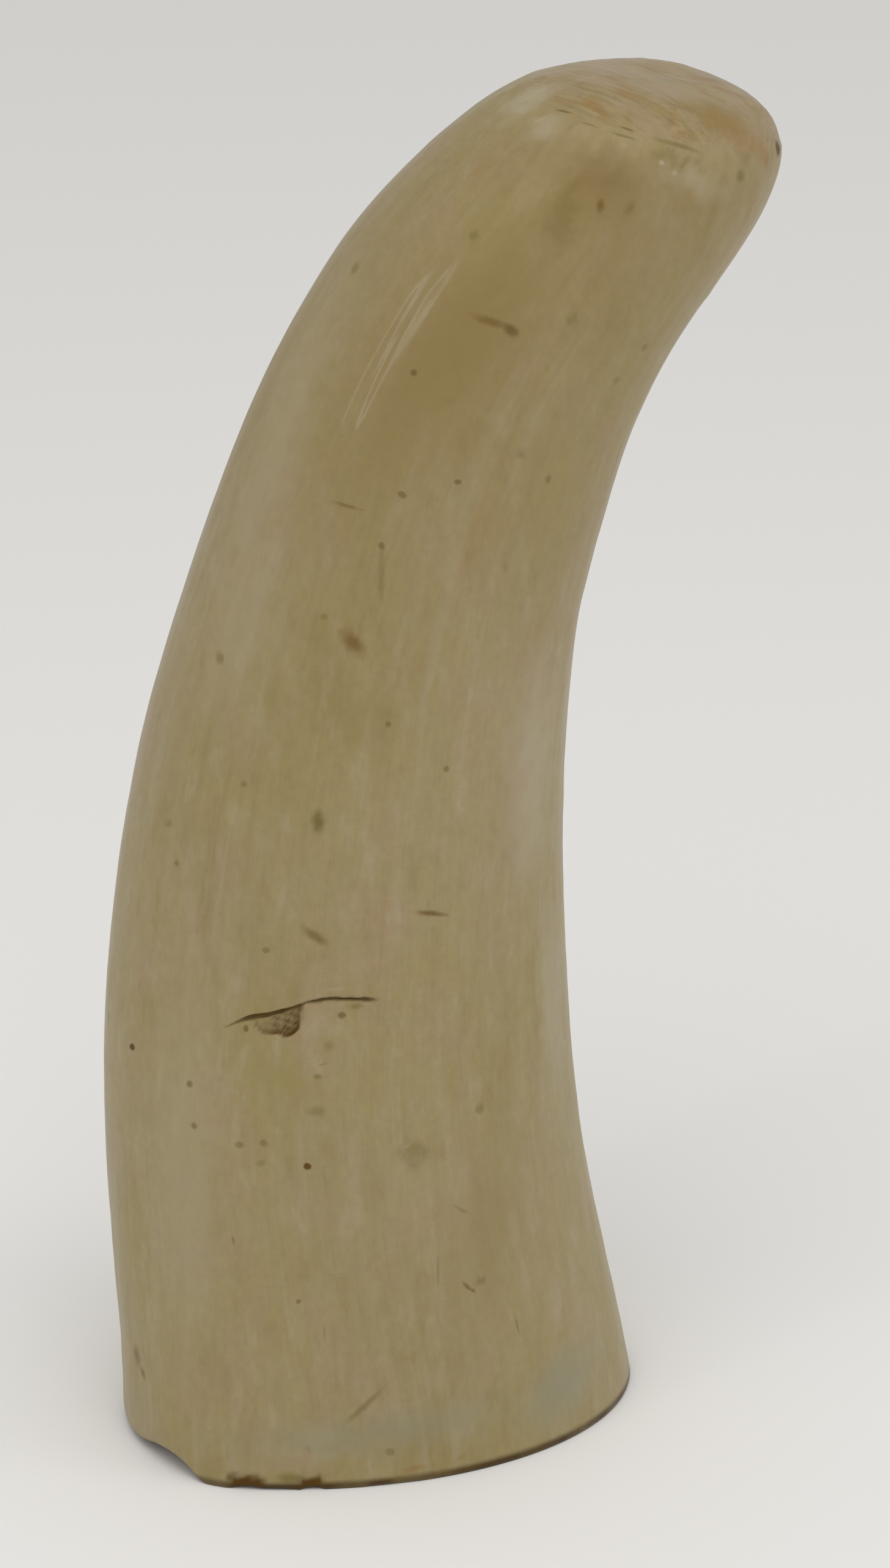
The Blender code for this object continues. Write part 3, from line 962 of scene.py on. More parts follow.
MARKS = (
    # broad zones of the front, seen as a browner middle and paler edges, with painted highlights,
    # sheen and shade among them
    Mark("tan", 735, 560, 430, 160, 54, 0.88, 0.95),
    Mark("tan", 1010, 420, 150, 100, 60, 0.40, 0.95),
    Mark("brown", 921, 345, 84, 50, 76, 0.34, 0.95),
    Mark("brown", 992, 276, 100, 64, -16, 0.38, 0.95),
    Mark("tan", 960, 305, 170, 120, -40, 0.75, 0.95),
    Mark("tan", 1130, 315, 110, 60, -14, 0.45, 0.95),
    Mark("tan", 820, 305, 90, 60, 50, 0.35, 0.95),
    Mark("bone", 868, 1270, 280, 88, 88, 0.85, 0.95),
    Mark("rose", 842, 1300, 240, 60, 90, 0.45, 0.95),
    Mark("bone", 903, 1640, 300, 60, 97, 0.60, 0.95),
    # painted light: the lower left made paler, standing in for a soft light from the left
    Mark("bone", 300, 1930, 480, 110, 90, 0.52, 0.95),
    Mark("bone", 400, 1010, 260, 110, 72, 0.38, 0.95),
    Mark("rust", 800, 865, 120, 50, 74, 0.16, 0.95),
    Mark("bone", 450, 730, 450, 90, 62, 0.46, 0.95),
    Mark("straw", 905, 820, 160, 60, 76, 0.40, 0.95),
    # painted shade: the lower right made browner and darker, standing in for light from the left
    Mark("tan", 790, 2030, 330, 140, 84, 0.42, 0.95),
    Mark("brown", 1000, 300, 280, 100, -14, 0.10, 0.95),
    # painted sheen: pale grey laid over the skin just above the rim
    Mark("ash", 920, 2265, 150, 90, 24, 0.9, 0.95),
    Mark("ash", 620, 2345, 360, 60, 3, 0.6, 0.95),
    # painted highlight: a pale patch and two hairline streaks on the left shoulder, where light
    # from above glints
    Mark("bone", 858, 164, 70, 60, 36, 0.85, 0.95),
    Mark("bone", 852, 158, 26, 5, 30, 0.9, 0.85),
    Mark("bone", 886, 194, 28, 5, 22, 0.8, 0.85),
    Mark("olive", 1020, 222, 30, 4, -18, 0.7, 0.9),
    Mark("rose", 1090, 146, 50, 46, -20, 0.75, 0.95),
    Mark("straw", 1128, 150, 56, 40, -20, 0.55, 0.95),
    # painted highlight: a paler patch on the left shoulder
    Mark("bone", 895, 205, 60, 32, 30, 0.60, 0.95),
    # painted highlight: a lit band under the edge of the worn facet
    Mark("bone", 1140, 300, 90, 30, -20, 0.60, 0.95),
    # the skin round the crack
    Mark("brown", 402, 1683, 6, 8, 0, 0.75),
    Mark("olive", 583, 1645, 18, 8, 0, 0.5, 0.9),
    Mark("umber", 559, 1660, 9, 8, 0, 0.6),
    Mark("bone", 520, 1675, 34, 36, 0, 0.45, 0.9),
    Mark("rose", 525, 1650, 30, 12, 0, 0.55, 0.9),
    # painted highlight along the crack's upper lip
    Mark("bone", 545, 1617, 26, 4, 6, 0.4, 0.9),
    Mark("olive", 538, 1710, 14, 15, 0, 0.38, 0.9),
    # pits filled with dirt
    Mark("umber", 216, 1712, 9, 8, 0, 1.0, 0.5),
    Mark("umber", 310, 1773, 8, 8, 0, 0.55),
    Mark("umber", 317, 1841, 8, 8, -30, 0.5),
    Mark("umber", 503, 1907, 8, 8, 0, 0.95, 0.5),
    Mark("olive", 391, 1872, 10, 8, 0, 0.55),
    Mark("olive", 431, 1870, 9, 8, 0, 0.5),
    Mark("olive", 519, 1760, 9, 6, 0, 0.5),
    Mark("olive", 426, 1903, 12, 8, 20, 0.4),
    Mark("olive", 435, 1554, 9, 7, 0, 0.55),
    Mark("umber", 677, 609, 7, 7, 0, 0.55),
    Mark("umber", 749, 788, 8, 6, 0, 0.55),
    Mark("brown", 658, 809, 10, 7, -25, 0.6),
    Mark("brown", 898, 784, 7, 10, 0, 0.45),
    Mark("brown", 624, 892, 7, 8, 0, 0.55),
    Mark("olive", 531, 1008, 8, 8, 0, 0.4),
    Mark("brown", 635, 1184, 7, 7, 0, 0.55),
    Mark("brown", 731, 1258, 7, 7, 0, 0.55),
    Mark("olive", 399, 1282, 8, 7, 0, 0.5),
    Mark("olive", 289, 1411, 8, 7, 0, 0.5),
    Mark("umber", 488, 2129, 6, 6, 0, 0.5),
    Mark("olive", 638, 2374, 11, 10, 0, 0.5),
    # smudges and stains, with two painted glints among them
    Mark("brown", 804, 526, 42, 11, -18, 0.65, 0.9),
    Mark("umber", 836, 541, 21, 13, -34, 0.65, 0.9),
    Mark("brown", 577, 1051, 38, 19, -46, 0.72, 0.9),
    Mark("rust", 577, 1050, 42, 24, -46, 0.35, 0.95),
    Mark("brown", 514, 1530, 36, 12, -35, 0.65, 0.9),
    Mark("olive", 521, 1344, 30, 17, 90, 0.85, 0.9),
    Mark("straw", 468, 1768, 70, 38, -20, 0.95, 0.9),
    Mark("olive", 517, 1817, 26, 13, 0, 0.4, 0.9),
    Mark("olive", 676, 1884, 38, 26, 80, 0.45, 0.95),
    Mark("olive", 624, 940, 70, 9, 90, 0.35, 0.9),
    Mark("brown", 982, 336, 18, 11, 76, 0.8, 0.9),
    Mark("olive", 1030, 340, 20, 10, 50, 0.45, 0.9),
    Mark("olive", 1110, 262, 70, 12, -14, 0.40, 0.95),
    Mark("olive", 1215, 262, 40, 10, -14, 0.35, 0.95),
    Mark("rust", 1206, 214, 84, 40, -24, 0.40, 0.95),
    Mark("rust", 1244, 240, 28, 26, 0, 0.7, 0.95),
    Mark("tan", 1180, 188, 84, 60, -24, 0.85, 0.95),
    Mark("rust", 1034, 118, 50, 44, 0, 0.7, 0.95),
    Mark("rust", 1222, 352, 46, 10, 60, 0.50, 0.95),
    Mark("umber", 1273, 243, 17, 16, 90, 1.0, 0.6),
    Mark("rust", 1254, 262, 18, 16, 0, 0.75, 0.9),
    Mark("olive", 1211, 288, 14, 16, 0, 0.6, 0.8),
    Mark("straw", 1167, 145, 40, 12, -24, 0.8, 0.9),
    # painted glints: two pale dots on the ridge under the facet's edge
    Mark("bone", 1082, 266, 6, 6, 0, 0.9),
    Mark("bone", 1103, 283, 6, 6, 0, 0.8),
    Mark("bone", 520, 2350, 46, 40, 0, 0.35, 0.95),
    Mark("bone", 760, 2320, 60, 40, 0, 0.3, 0.95),
    Mark("bone", 940, 2262, 50, 36, 20, 0.35, 0.95),
    Mark("rust", 678, 2401, 28, 8, 4, 0.65, 0.9),
    Mark("rust", 756, 2383, 14, 7, 10, 0.4, 0.9),
    Mark("rose", 486, 2393, 84, 13, 1, 1.0, 0.95),
    Mark("straw", 462, 2415, 34, 17, 0, 1.0, 0.85),
    Mark("olive", 474, 2418, 30, 16, 0, 0.6, 0.9),
    Mark("bone", 500, 2378, 120, 16, 2, 0.45, 0.95),
    # scratches
    Mark("brown", 568, 827, 38, 5, -14, 0.55, 0.9),
    Mark("brown", 706, 1494, 42, 7, -14, 0.85, 0.85),
    Mark("brown", 765, 2104, 20, 5, -45, 0.7, 0.8),
    Mark("umber", 775, 2111, 8, 5, -45, 0.5, 0.8),
    Mark("brown", 598, 2298, 66, 9, 42, 0.48, 0.94),
    Mark("olive", 846, 2165, 30, 4, -75, 0.5, 0.9),
    Mark("olive", 756, 1979, 30, 5, -35, 0.4, 0.9),
    Mark("brown", 382, 2029, 13, 4, 95, 0.5, 0.8),
    Mark("brown", 224, 2218, 30, 20, -76, 0.75, 0.9),
    Mark("brown", 234, 2245, 17, 12, -40, 0.75, 0.9),
    Mark("olive", 716, 2077, 48, 4, 90, 0.35, 0.9),
    Mark("olive", 531, 2180, 24, 4, 90, 0.35, 0.9),
    Mark("brown", 922, 181, 24, 3.5, -27, 0.8, 0.9),
    Mark("brown", 1026, 210, 20, 3.5, -24, 0.75, 0.9),
    Mark("brown", 965, 204, 26, 3, -24, 0.5, 0.9),
    Mark("olive", 1110, 238, 60, 7, -12, 0.6, 0.9),
)

FRAY = 0.5  # how far the edge of a small mark strays, in its own half sizes
FRAY_MM = 0.8  # size of the ragged bits of its edge
BROAD_MARK_FRAY_MM = 0.45  # how far the edge of a painted mark strays
SKIN_THROUGH_MM = 5.0  # half thickness of a mark, through the skin
SOFT_MARK = 0.95  # a mark this soft is painted point by point,
WIDE_MARK_PX = 25.0  # and so is one this broad each way from its middle
APART_PX = 30.0  # the gap that small marks of one layer keep
CLEAR_MM = 1.0  # how far round a small mark its own measure is kept
FAR_OUT = 4.0  # what stands for a place far from every mark, in half sizes
FARTHEST = 16.0  # the farthest place along or across that is stored, in half sizes
HIDDEN_MM = 100.0  # how much farther off a mark on the tooth's other side counts


def is_painted_point_by_point(mark):
    """Whether a mark is soft or wide enough to be painted point by point."""
    return mark.softness >= SOFT_MARK or min(mark.half_length, mark.half_breadth) >= WIDE_MARK_PX


def tones_of(marks):
    return sorted({mark.tone for mark in marks})


# broad or soft marks: stains, and painted highlights, sheen and shade
STAINS_AND_PAINTED_LIGHT = tuple(mark for mark in MARKS if is_painted_point_by_point(mark))
SPOTS = tuple(mark for mark in MARKS if not is_painted_point_by_point(mark))


def are_close(one, other):
    gap = math.hypot(one.x - other.x, one.y - other.y)
    return gap < one.half_length + other.half_length + APART_PX


def layered(spots):
    """Sorts small marks by tone and layer, so that no two of one layer are close together."""
    layers = {}
    for spot in spots:
        number = 0
        while any(are_close(spot, other) for other in layers.get((spot.tone, number), ())):
            number += 1
        layers.setdefault((spot.tone, number), []).append(spot)
    return layers


LAYERS = layered(SPOTS)


def in_mark(mark, points, view, skin):
    """Where points are in a mark's own measure: along, across, and how far through the skin."""
    place, outward = view.on_skin(skin, mark.x, mark.y)
    across, up = skin_axes(view, outward, mark.turn)
    gap = points - np.array(place / MM)
    long, broad = mark.half_length / PIXELS_PER_MM, mark.half_breadth / PIXELS_PER_MM
    thick = max(SKIN_THROUGH_MM, long)
    sizes = ((across, long), (up, broad), (outward, thick))
    return np.stack([gap @ np.array(way) / half for way, half in sizes], -1), gap


def stains_and_painted_light_on(points, view, skin):
    """For each tone that has broad or soft marks, stains and painted highlights, sheen and shade
    among them, how strongly it shows at each point, from 0 to 1.
    """
    drift = np.stack([rough(points, 3.0, seed) + 0.5 * rough(points, 1.2, seed + 3)
                      for seed in (21, 22, 23)], -1)
    shares = {tone: np.zeros(points.shape[:-1]) for tone in tones_of(STAINS_AND_PAINTED_LIGHT)}
    for mark in STAINS_AND_PAINTED_LIGHT:
        local, _ = in_mark(mark, points + BROAD_MARK_FRAY_MM * drift, view, skin)
        away = np.linalg.norm(local, axis=-1)
        share = mark.strength * eased(away, 1.0, 1.0 - mark.softness)
        shares[mark.tone] = np.maximum(shares[mark.tone], share)
    return shares


def spots_on(points, view, skin):
    """For each layer of small marks, two vectors at each point: where it is in the nearest
    mark's own measure, with a third number that grows outside it, and that mark's look."""
    found = {}
    for (tone, number), marks in LAYERS.items():
        nearest = np.full(points.shape[:-1], np.inf)
        local, look = np.zeros(points.shape), np.zeros(points.shape)
        for mark in marks:
            inner, gap = in_mark(mark, points, view, skin)
            flat = np.hypot(inner[..., 0], inner[..., 1])
            through = np.abs(inner[..., 2]) > 1.0
            outside = np.linalg.norm(gap, axis=-1) * (1.0 - 1.0 / np.maximum(flat, 1.0))
            outside = outside + HIDDEN_MM * through
            closer = outside < nearest
            nearest = np.where(closer, outside, nearest)
            inner[..., 2] = FAR_OUT * eased(outside, CLEAR_MM, 2.0 * CLEAR_MM)
            inner[..., :2] = np.clip(inner[..., :2], -FARTHEST, FARTHEST)
            local = np.where(closer[..., None], inner, local)
            look = np.where(closer[..., None], (mark.strength, 1.0 - mark.softness, 0.0), look)
        found[f"spot_{tone}_{number}"] = local
        found[f"look_{tone}_{number}"] = look
    return found


def tone_shares(tree, place):
    """For each tone that the marks have, how strongly it shows, as a node output."""
    loose = node(tree, "ShaderNodeTexNoise", {
        "Vector": place, "Scale": 1.0 / (FRAY_MM * MM), "Detail": 2.0,
    })
    drift = vector_calc(tree, "MULTIPLY_ADD", loose.outputs["Color"], (FRAY,) * 3, (-FRAY / 2,) * 3)
    # shares of the marks painted point by point: stains, and painted highlights, sheen and shade
    shares = {
        tone: node(tree, "ShaderNodeAttribute", attribute_name="stain_" + tone).outputs["Fac"]
        for tone in tones_of(STAINS_AND_PAINTED_LIGHT)
    }

    def stored(name):
        return node(tree, "ShaderNodeAttribute", attribute_name=name).outputs["Vector"]

    for tone, number in sorted(LAYERS):
        local = stored(f"spot_{tone}_{number}")
        look = stored(f"look_{tone}_{number}")
        part = node(tree, "ShaderNodeSeparateXYZ", {0: look}).outputs
        away = vector_calc(tree, "LENGTH", vector_calc(tree, "ADD", local, drift))
        share = calc(tree, "MULTIPLY", ramped(tree, away, 1.0, part[1]), part[0])
        if tone in shares:
            share = calc(tree, "MAXIMUM", shares[tone], share)
        shares[tone] = share
    return shares


# The turn of a frame whose X runs along the fine scratches on the worn facet.
HATCH_TURN = (0.0, math.radians(10.3), math.radians(-47.2))


class Pattern(NamedTuple):
    """A soft random pattern of values from 0 to 1, and the sizes of its patches."""

    sizes: tuple
    detail: float
    roughness: float
    seed: float
    laid: str = "space"  # in the tooth's own space, along its growth, or along the facet


PATTERNS = {
    "clouds": Pattern((24.0, 24.0, 34.0), 3.0, 0.55, 1.0),
    "patches": Pattern((9.0, 9.0, 13.0), 3.0, 0.6, 4.0),
    "mottle": Pattern((2.2, 2.2, 6.0), 3.0, 0.6, 9.0),
    "flecks": Pattern((0.9, 0.9, 1.2), 3.0, 0.6, 5.0),
    "fine": Pattern((0.22, 0.22, 0.3), 2.0, 0.5, 3.0),
    "long scratches": Pattern((0.22, 5.0, 7.0), 1.0, 0.5, 11.0),
    "bands": Pattern((2.6, 2.6, 30.0), 3.0, 0.6, 2.0, "growth"),
    "streaks": Pattern((1.0, 1.0, 20.0), 4.0, 0.65, 6.0, "growth"),
    "grain": Pattern((0.35, 0.35, 7.0), 3.0, 0.6, 8.0, "growth"),
    "rings": Pattern((40.0, 40.0, 0.9), 2.0, 0.5, 3.0, "growth"),
    "cross scratches": Pattern((7.0, 7.0, 0.2), 1.0, 0.5, 12.0, "growth"),
    "hatch": Pattern((5.0, 0.45, 0.45), 3.0, 0.6, 14.0, "facet"),
    "blush": Pattern((5.5, 2.6, 2.6), 3.0, 0.55, 15.0, "facet"),
}


class Wash(NamedTuple):
    """A tone laid over the colour where a pattern goes from one value to another."""

    pattern: str
    start: float  # the value at which it is still at its least
    full: float  # the value at which it is at its most
    most: float
    tone: str
    least: float = 0.0


SKIN_WASHES = (
    Wash("clouds", 0.36, 0.64, 0.6, "straw"),
    Wash("patches", 0.5, 0.72, 0.55, "rose"),
    Wash("patches", 0.44, 0.28, 0.30, "tan"),
    Wash("mottle", 0.5, 0.75, 0.38, "bone"),
    Wash("mottle", 0.46, 0.25, 0.38, "tan"),
)
BAND_WASHES = (
    Wash("bands", 0.52, 0.74, 0.32, "bone"),
    Wash("bands", 0.44, 0.26, 0.28, "tan"),
)
FACET_WASHES = (
    Wash("blush", 0.42, 0.62, 0.6, "rose", least=0.05),
    Wash("blush", 0.50, 0.30, 0.6, "rust"),
)

MARK_ORDER = ("tan", "bone", "ash", "straw", "rose", "rust", "olive", "brown", "umber")
TANNED_MM = (74.0, 112.0)  # along the tooth, where it turns browner towards the tip
TAN_AT_TIP, TAN_ON_FACET = 0.34, 0.5
HOLLOW_TAN_MM = (-12.0, -34.0)  # the same, into the hollow
RIM_DIRT_AND_SHADE_MM = (1.3, 0.5)  # up from the rim, where its dark line, partly dirt and partly painted contact shade, begins and is full
SPECK_SPACING_MM = 9.0
SCRATCH_DEPTH_MM = 0.06
SPECULAR_TINT = (1.0, 0.8, 0.42, 1.0)
GLOW = 0.12  # share of the light that passes under the clean skin
GLOW_RADII = (1.0, 0.62, 0.36)
GLOW_DEPTH_MM = 1.2


class Paint:
    """What the layers of the tooth's finish share: its tones, patterns and stored masks."""

    def __init__(self, tree, finish):
        self.tree, self.finish, self.made = tree, finish, {}
        self.place = node(tree, "ShaderNodeTexCoord").outputs["Object"]
        growth = self.stored("growth", "Vector")
        sloped = node(tree, "ShaderNodeMapping", {
            "Vector": self.place, "Rotation": HATCH_TURN,
        }, vector_type="TEXTURE").outputs[0]
        self.ways = {"space": self.place, "growth": growth, "facet": sloped}
        self.along = node(tree, "ShaderNodeSeparateXYZ", {0: growth}).outputs[2]
        self.inside, self.facet = self.stored("inside"), self.stored("facet")
        self.dirt, self.broken = self.stored("dirt"), self.stored("broken")
        self.off_facet = calc(tree, "SUBTRACT", 1.0, self.facet)

    def tone(self, name, gain=1.0):
        return (*(channel * gain for channel in getattr(self.finish, name)), 1.0)

    def stored(self, name, output="Fac"):
        return node(self.tree, "ShaderNodeAttribute", attribute_name=name).outputs[output]

    def pattern(self, name):
        if name not in self.made:
            *look, laid = PATTERNS[name]
            self.made[name] = noise(self.tree, self.ways[laid], *look)
        return self.made[name]

    def swing(self, name, least, most, reach=0.2):
        """A pattern stretched so that it runs from least to most."""
        return ramped(
            self.tree, self.pattern(name), 0.5 - reach, 0.5 + reach, least, most, "LINEAR",
        )

    def depth(self, ends_mm, most=1.0):
        """From 0 to most between two places along the tooth."""
        return ramped(self.tree, self.along, ends_mm[0] * MM, ends_mm[1] * MM, 0.0, most)

    def washed(self, colour, washes, where=None):
        for wash in washes:
            pattern = self.pattern(wash.pattern)
            share = ramped(self.tree, pattern, wash.start, wash.full, wash.least, wash.most)
            if where:
                share = calc(self.tree, "MULTIPLY", share, where)
            colour = blended(self.tree, share, colour, self.tone(wash.tone))
        return colour


def skin_colour(paint):
    """Mottled ivory with bands, streaks and hatching, browner towards the tip."""
    tree = paint.tree
    colour = paint.washed(paint.tone("ivory"), SKIN_WASHES)
    colour = paint.washed(colour, BAND_WASHES, paint.off_facet)
    uneven = calc(tree, "MULTIPLY_ADD", paint.pattern("clouds"), 0.05, -0.025)
    height = calc(tree, "ADD", paint.along, uneven)
    tanned = calc(
        tree, "MAXIMUM",
        ramped(tree, height, TANNED_MM[0] * MM, TANNED_MM[1] * MM, 0.0, TAN_AT_TIP),
        calc(tree, "MULTIPLY", paint.facet, TAN_ON_FACET),
    )
    colour = blended(tree, tanned, colour, paint.tone("tan"))
    lines = calc(
        tree, "ADD", paint.swing("streaks", -0.03, 0.03), paint.swing("grain", -0.022, 0.022),
    )
    lines = calc(tree, "MULTIPLY", lines, paint.off_facet)
    lines = calc(tree, "ADD", lines, paint.swing("flecks", -0.05, 0.05))
    hatched = calc(tree, "MULTIPLY", paint.facet, paint.swing("hatch", -0.22, 0.20, reach=0.18))
    gain = calc(tree, "ADD", calc(tree, "ADD", lines, hatched), 1.0)
    colour = vector_calc(tree, "MULTIPLY", colour, grey(tree, gain))
    return paint.washed(colour, FACET_WASHES, paint.facet)


def sawn_colour(paint):
    """The root face with its rings, and the hollow, which is browner further in."""
    tree = paint.tree
    ringed = ramped(tree, paint.pattern("rings"), 0.35, 0.65)
    colour = blended(tree, ringed, paint.tone("sawn"), paint.tone("sawn", 0.8))
    return blended(tree, paint.depth(HOLLOW_TAN_MM, 0.7), colour, paint.tone("tan", 0.7))


def stained(paint, colour, shares):
    """The colour with the marks, painted highlights, sheen and shade among them, the broken edges,
    the specks and the dirt over it, and a dark line along the rim that is partly dirt and partly
    painted contact shade.
    """
    tree = paint.tree
    # a dark line along the rim: partly dirt, partly painted contact shade where the tooth stands on
    # the floor
    edge = calc(
        tree, "MULTIPLY", paint.depth(RIM_DIRT_AND_SHADE_MM),
        ramped(tree, paint.pattern("patches"), 0.35, 0.55, 0.7, 1.0),
    )
    # the marks, painted highlights, sheen and shade among them
    for name in MARK_ORDER:
        colour = blended(tree, shares[name], colour, paint.tone(name))
    broken = calc(tree, "MULTIPLY", paint.broken, 0.55)
    colour = blended(tree, broken, colour, paint.tone("rust", 0.9))
    # the rim's dark line, partly dirt and partly painted contact shade
    colour = blended(tree, edge, colour, paint.tone("umber", 0.6))
    cells = node(tree, "ShaderNodeTexVoronoi", {
        "Vector": paint.place, "Scale": 1.0 / (SPECK_SPACING_MM * MM),
    }).outputs["Distance"]
    strayed = calc(tree, "MULTIPLY", calc(tree, "SUBTRACT", paint.pattern("flecks"), 0.5), 0.12)
    specks = ramped(tree, calc(tree, "ADD", cells, strayed), 0.09, 0.02, 0.0, 0.5)
    specks = calc(tree, "MULTIPLY", specks, calc(tree, "SUBTRACT", 1.0, paint.inside))
    colour = blended(tree, specks, colour, paint.tone("olive"))
    return blended(tree, paint.dirt, colour, paint.tone("umber"))


def fine_relief(paint):
    """The height of what is too fine for the mesh: grain, scratches and the facet's hatching."""
    tree = paint.tree
    grain = calc(tree, "MULTIPLY", paint.pattern("grain"), paint.off_facet)
    fine = calc(tree, "MULTIPLY", paint.pattern("fine"), 0.32)
    relief = calc(tree, "MULTIPLY_ADD", grain, 0.5, fine)
    for name, start, full, depth in (
        ("long scratches", 0.66, 0.72, 0.25), ("cross scratches", 0.64, 0.73, 0.35),
    ):
        scratched = ramped(tree, paint.pattern(name), start, full, 0.0, depth)
        relief = calc(tree, "SUBTRACT", relief, scratched)
    hatched = calc(tree, "MULTIPLY", paint.pattern("hatch"), paint.facet)
    return calc(tree, "MULTIPLY_ADD", hatched, 0.9, relief)


def dentine_material(finish):
    """Polished dentine and cement: mottled ivory, streaked lengthwise, stained in its flaws, with
    painted highlights, sheen and shade among its marks.
    """
    material = bpy.data.materials.new("Polished tooth")
    material.use_nodes = True
    tree = material.node_tree
    tree.nodes.clear()
    paint = Paint(tree, finish)
    colour = blended(tree, paint.inside, skin_colour(paint), sawn_colour(paint))
    shares = tone_shares(tree, paint.place)
    colour = stained(paint, colour, shares)
    bump = node(tree, "ShaderNodeBump", {
        "Height": fine_relief(paint), "Strength": 0.5, "Distance": SCRATCH_DEPTH_MM * MM,
    })
    dull = calc(tree, "ADD", paint.swing("streaks", -0.05, 0.06), finish.roughness)
    dull = calc(tree, "MULTIPLY_ADD", calc(tree, "MAXIMUM", paint.dirt, paint.inside), 0.25, dull)
    dull = calc(tree, "MULTIPLY_ADD", paint.facet, -0.05, dull)
    dirty = calc(tree, "MAXIMUM", paint.dirt, shares["umber"])
    clean = calc(tree, "SUBTRACT", 1.0, dirty, clamp=True)
    shader = node(tree, "ShaderNodeBsdfPrincipled", {
        "Base Color": colour, "Roughness": dull, "Normal": bump.outputs[0],
        "IOR": 1.5, "Specular Tint": SPECULAR_TINT,
        "Subsurface Weight": calc(tree, "MULTIPLY", clean, GLOW),
        "Subsurface Radius": GLOW_RADII, "Subsurface Scale": GLOW_DEPTH_MM * MM,
        "Coat Weight": calc(tree, "MULTIPLY", clean, finish.polish), "Coat Roughness": 0.09,
    })
    node(tree, "ShaderNodeOutputMaterial", {0: shader.outputs[0]})
    return material


# Operators


FACET_WAY = np.array([0.5, -0.1, 0.86])  # what the worn facet faces
FACET_TURNED = (0.57, 0.69)  # how far the skin there is turned that way, at its edge and inside
FACET_FROM_MM = (118.0, 130.0)  # where along the tooth its wear begins
FACET_WEAR_MM = 0.12
FACET_SMOOTH = 0.6  # share of the relief that is worn off it
RELIEF_FROM_MM = (0.3, 4.0)  # along the tooth, where the relief begins
RELIEF_TO_MM = (150.0, 157.0)  # and where it ends
BREAK_FACE_MM = (3.4, 1.5)  # in from the rim, where a break's colour begins and is full
BREAK_WALL_MM = (0.7, 0.1)  # the same, up the wall from the break


class TOOTH_OT_body(bpy.types.Operator):
    """Build the tooth's skin over its CAD solid, with its crack, chips, grain and finish"""

    bl_idname = "tooth.body"
    bl_label = "Build the Tooth"

    def execute(self, context):
        shape, finish = context.scene.tooth_shape, context.scene.tooth_finish
        view = View(context.scene.tooth_studio)
        grid = body_grid(cad_skin(), view)
        outward = outward_of(grid.points)
        skin = grid_skin(grid)
        outside = (grid.part == OUTSIDE)[:, None]
        facet = eased(outward @ FACET_WAY, *FACET_TURNED) * outside
        facet = facet * eased(grid.travel, *FACET_FROM_MM)
        seen = outside * (outward @ np.array(view.ahead) < 0.0)
        pixels = view.pixels(grid.points)
        crack_sink, crack_dirt = cut_crack(pixels, grid.points, shape)
        flake_sink, flake_darkening = cut_flake(pixels, grid.points)
        sink = np.maximum(crack_sink, flake_sink) * seen + FACET_WEAR_MM * facet
        grid = grid._replace(points=grid.points - outward * sink[..., None])

        mesh = grid_mesh(grid)
        set_growth(mesh, grid)
        ends = eased(grid.travel, *RELIEF_FROM_MM) * eased(grid.travel, *RELIEF_TO_MM[::-1])
        relief = outside * ends * (1.0 - FACET_SMOOTH * facet)
        inside = np.repeat((grid.part != OUTSIDE)[:, None], COLUMNS, 1)
        near_break = outside * eased(grid.travel - grid.rise, *BREAK_WALL_MM)
        near_break[grid.part == FACE] = eased(grid.run, *BREAK_FACE_MM)
        near_break = near_break * np.clip(grid.rise, 0.0, 1.0)
        set_attribute(mesh, "relief", with_ends(relief, 0.0, 0.0))
        set_attribute(mesh, "inside", with_ends(inside, 1.0, 0.0))
        set_attribute(mesh, "facet", with_ends(facet, 0.0, 1.0))
        # dark paint: the crack's dirt and the flake's darker band and floor, then the notches' dirt
        dirt = np.maximum(crack_dirt, flake_darkening) * seen
        dirt = np.maximum(dirt, notch_dirt(grid, view) * outside)
        set_attribute(mesh, "dirt", with_ends(dirt, 0.0, 0.0))
        set_attribute(mesh, "broken", with_ends(near_break, 0.0, 0.0))
        # marks painted point by point, painted highlights, sheen and shade among them
        for tone, share in stains_and_painted_light_on(grid.points, view, skin).items():
            set_attribute(mesh, "stain_" + tone, with_ends(share * outside, 0.0, 0.0))
        far = (0.0, 0.0, FAR_OUT)
        for name, values in spots_on(grid.points, view, skin).items():
            on_skin = np.where(outside[..., None], values, far)
            set_vectors(mesh, name, on_skin, far, far)

        piece = bpy.data.objects.new("tooth_skin", mesh)
        context.scene.collection.objects.link(piece)
        give_relief(piece, shape, dentine_material(finish))
        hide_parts(NODE)
        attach(piece, "root")
        return {"FINISHED"}


class Lamp(NamedTuple):
    """An area light that is aimed at the tooth. Its power is the setting of the same name."""

    name: str
    left: float  # degrees to the left of the camera
    elevation: float  # degrees
    distance: float  # metres, as are its sizes
    size: tuple
    roll: float = 0.0  # degrees round its own aim


LAMPS = (
    Lamp("Overhead", left=8.0, elevation=62.0, distance=0.75, size=(0.6, 0.6)),
    Lamp("Strip", left=46.5, elevation=28.5, distance=0.60, size=(0.014, 0.19), roll=-16.0),
    Lamp("Side", left=-70.0, elevation=20.0, distance=0.80, size=(0.35, 0.6)),
)
AIM_HEIGHT_MM = 75.0
FLOOR_HALF_M = 3.0
FLOOR_COLOUR = (0.90, 0.89, 0.875, 1.0)
ROOM_COLOUR = (1.0, 0.99, 0.975, 1.0)
VIEW_RANGE_M = (0.01, 20.0)


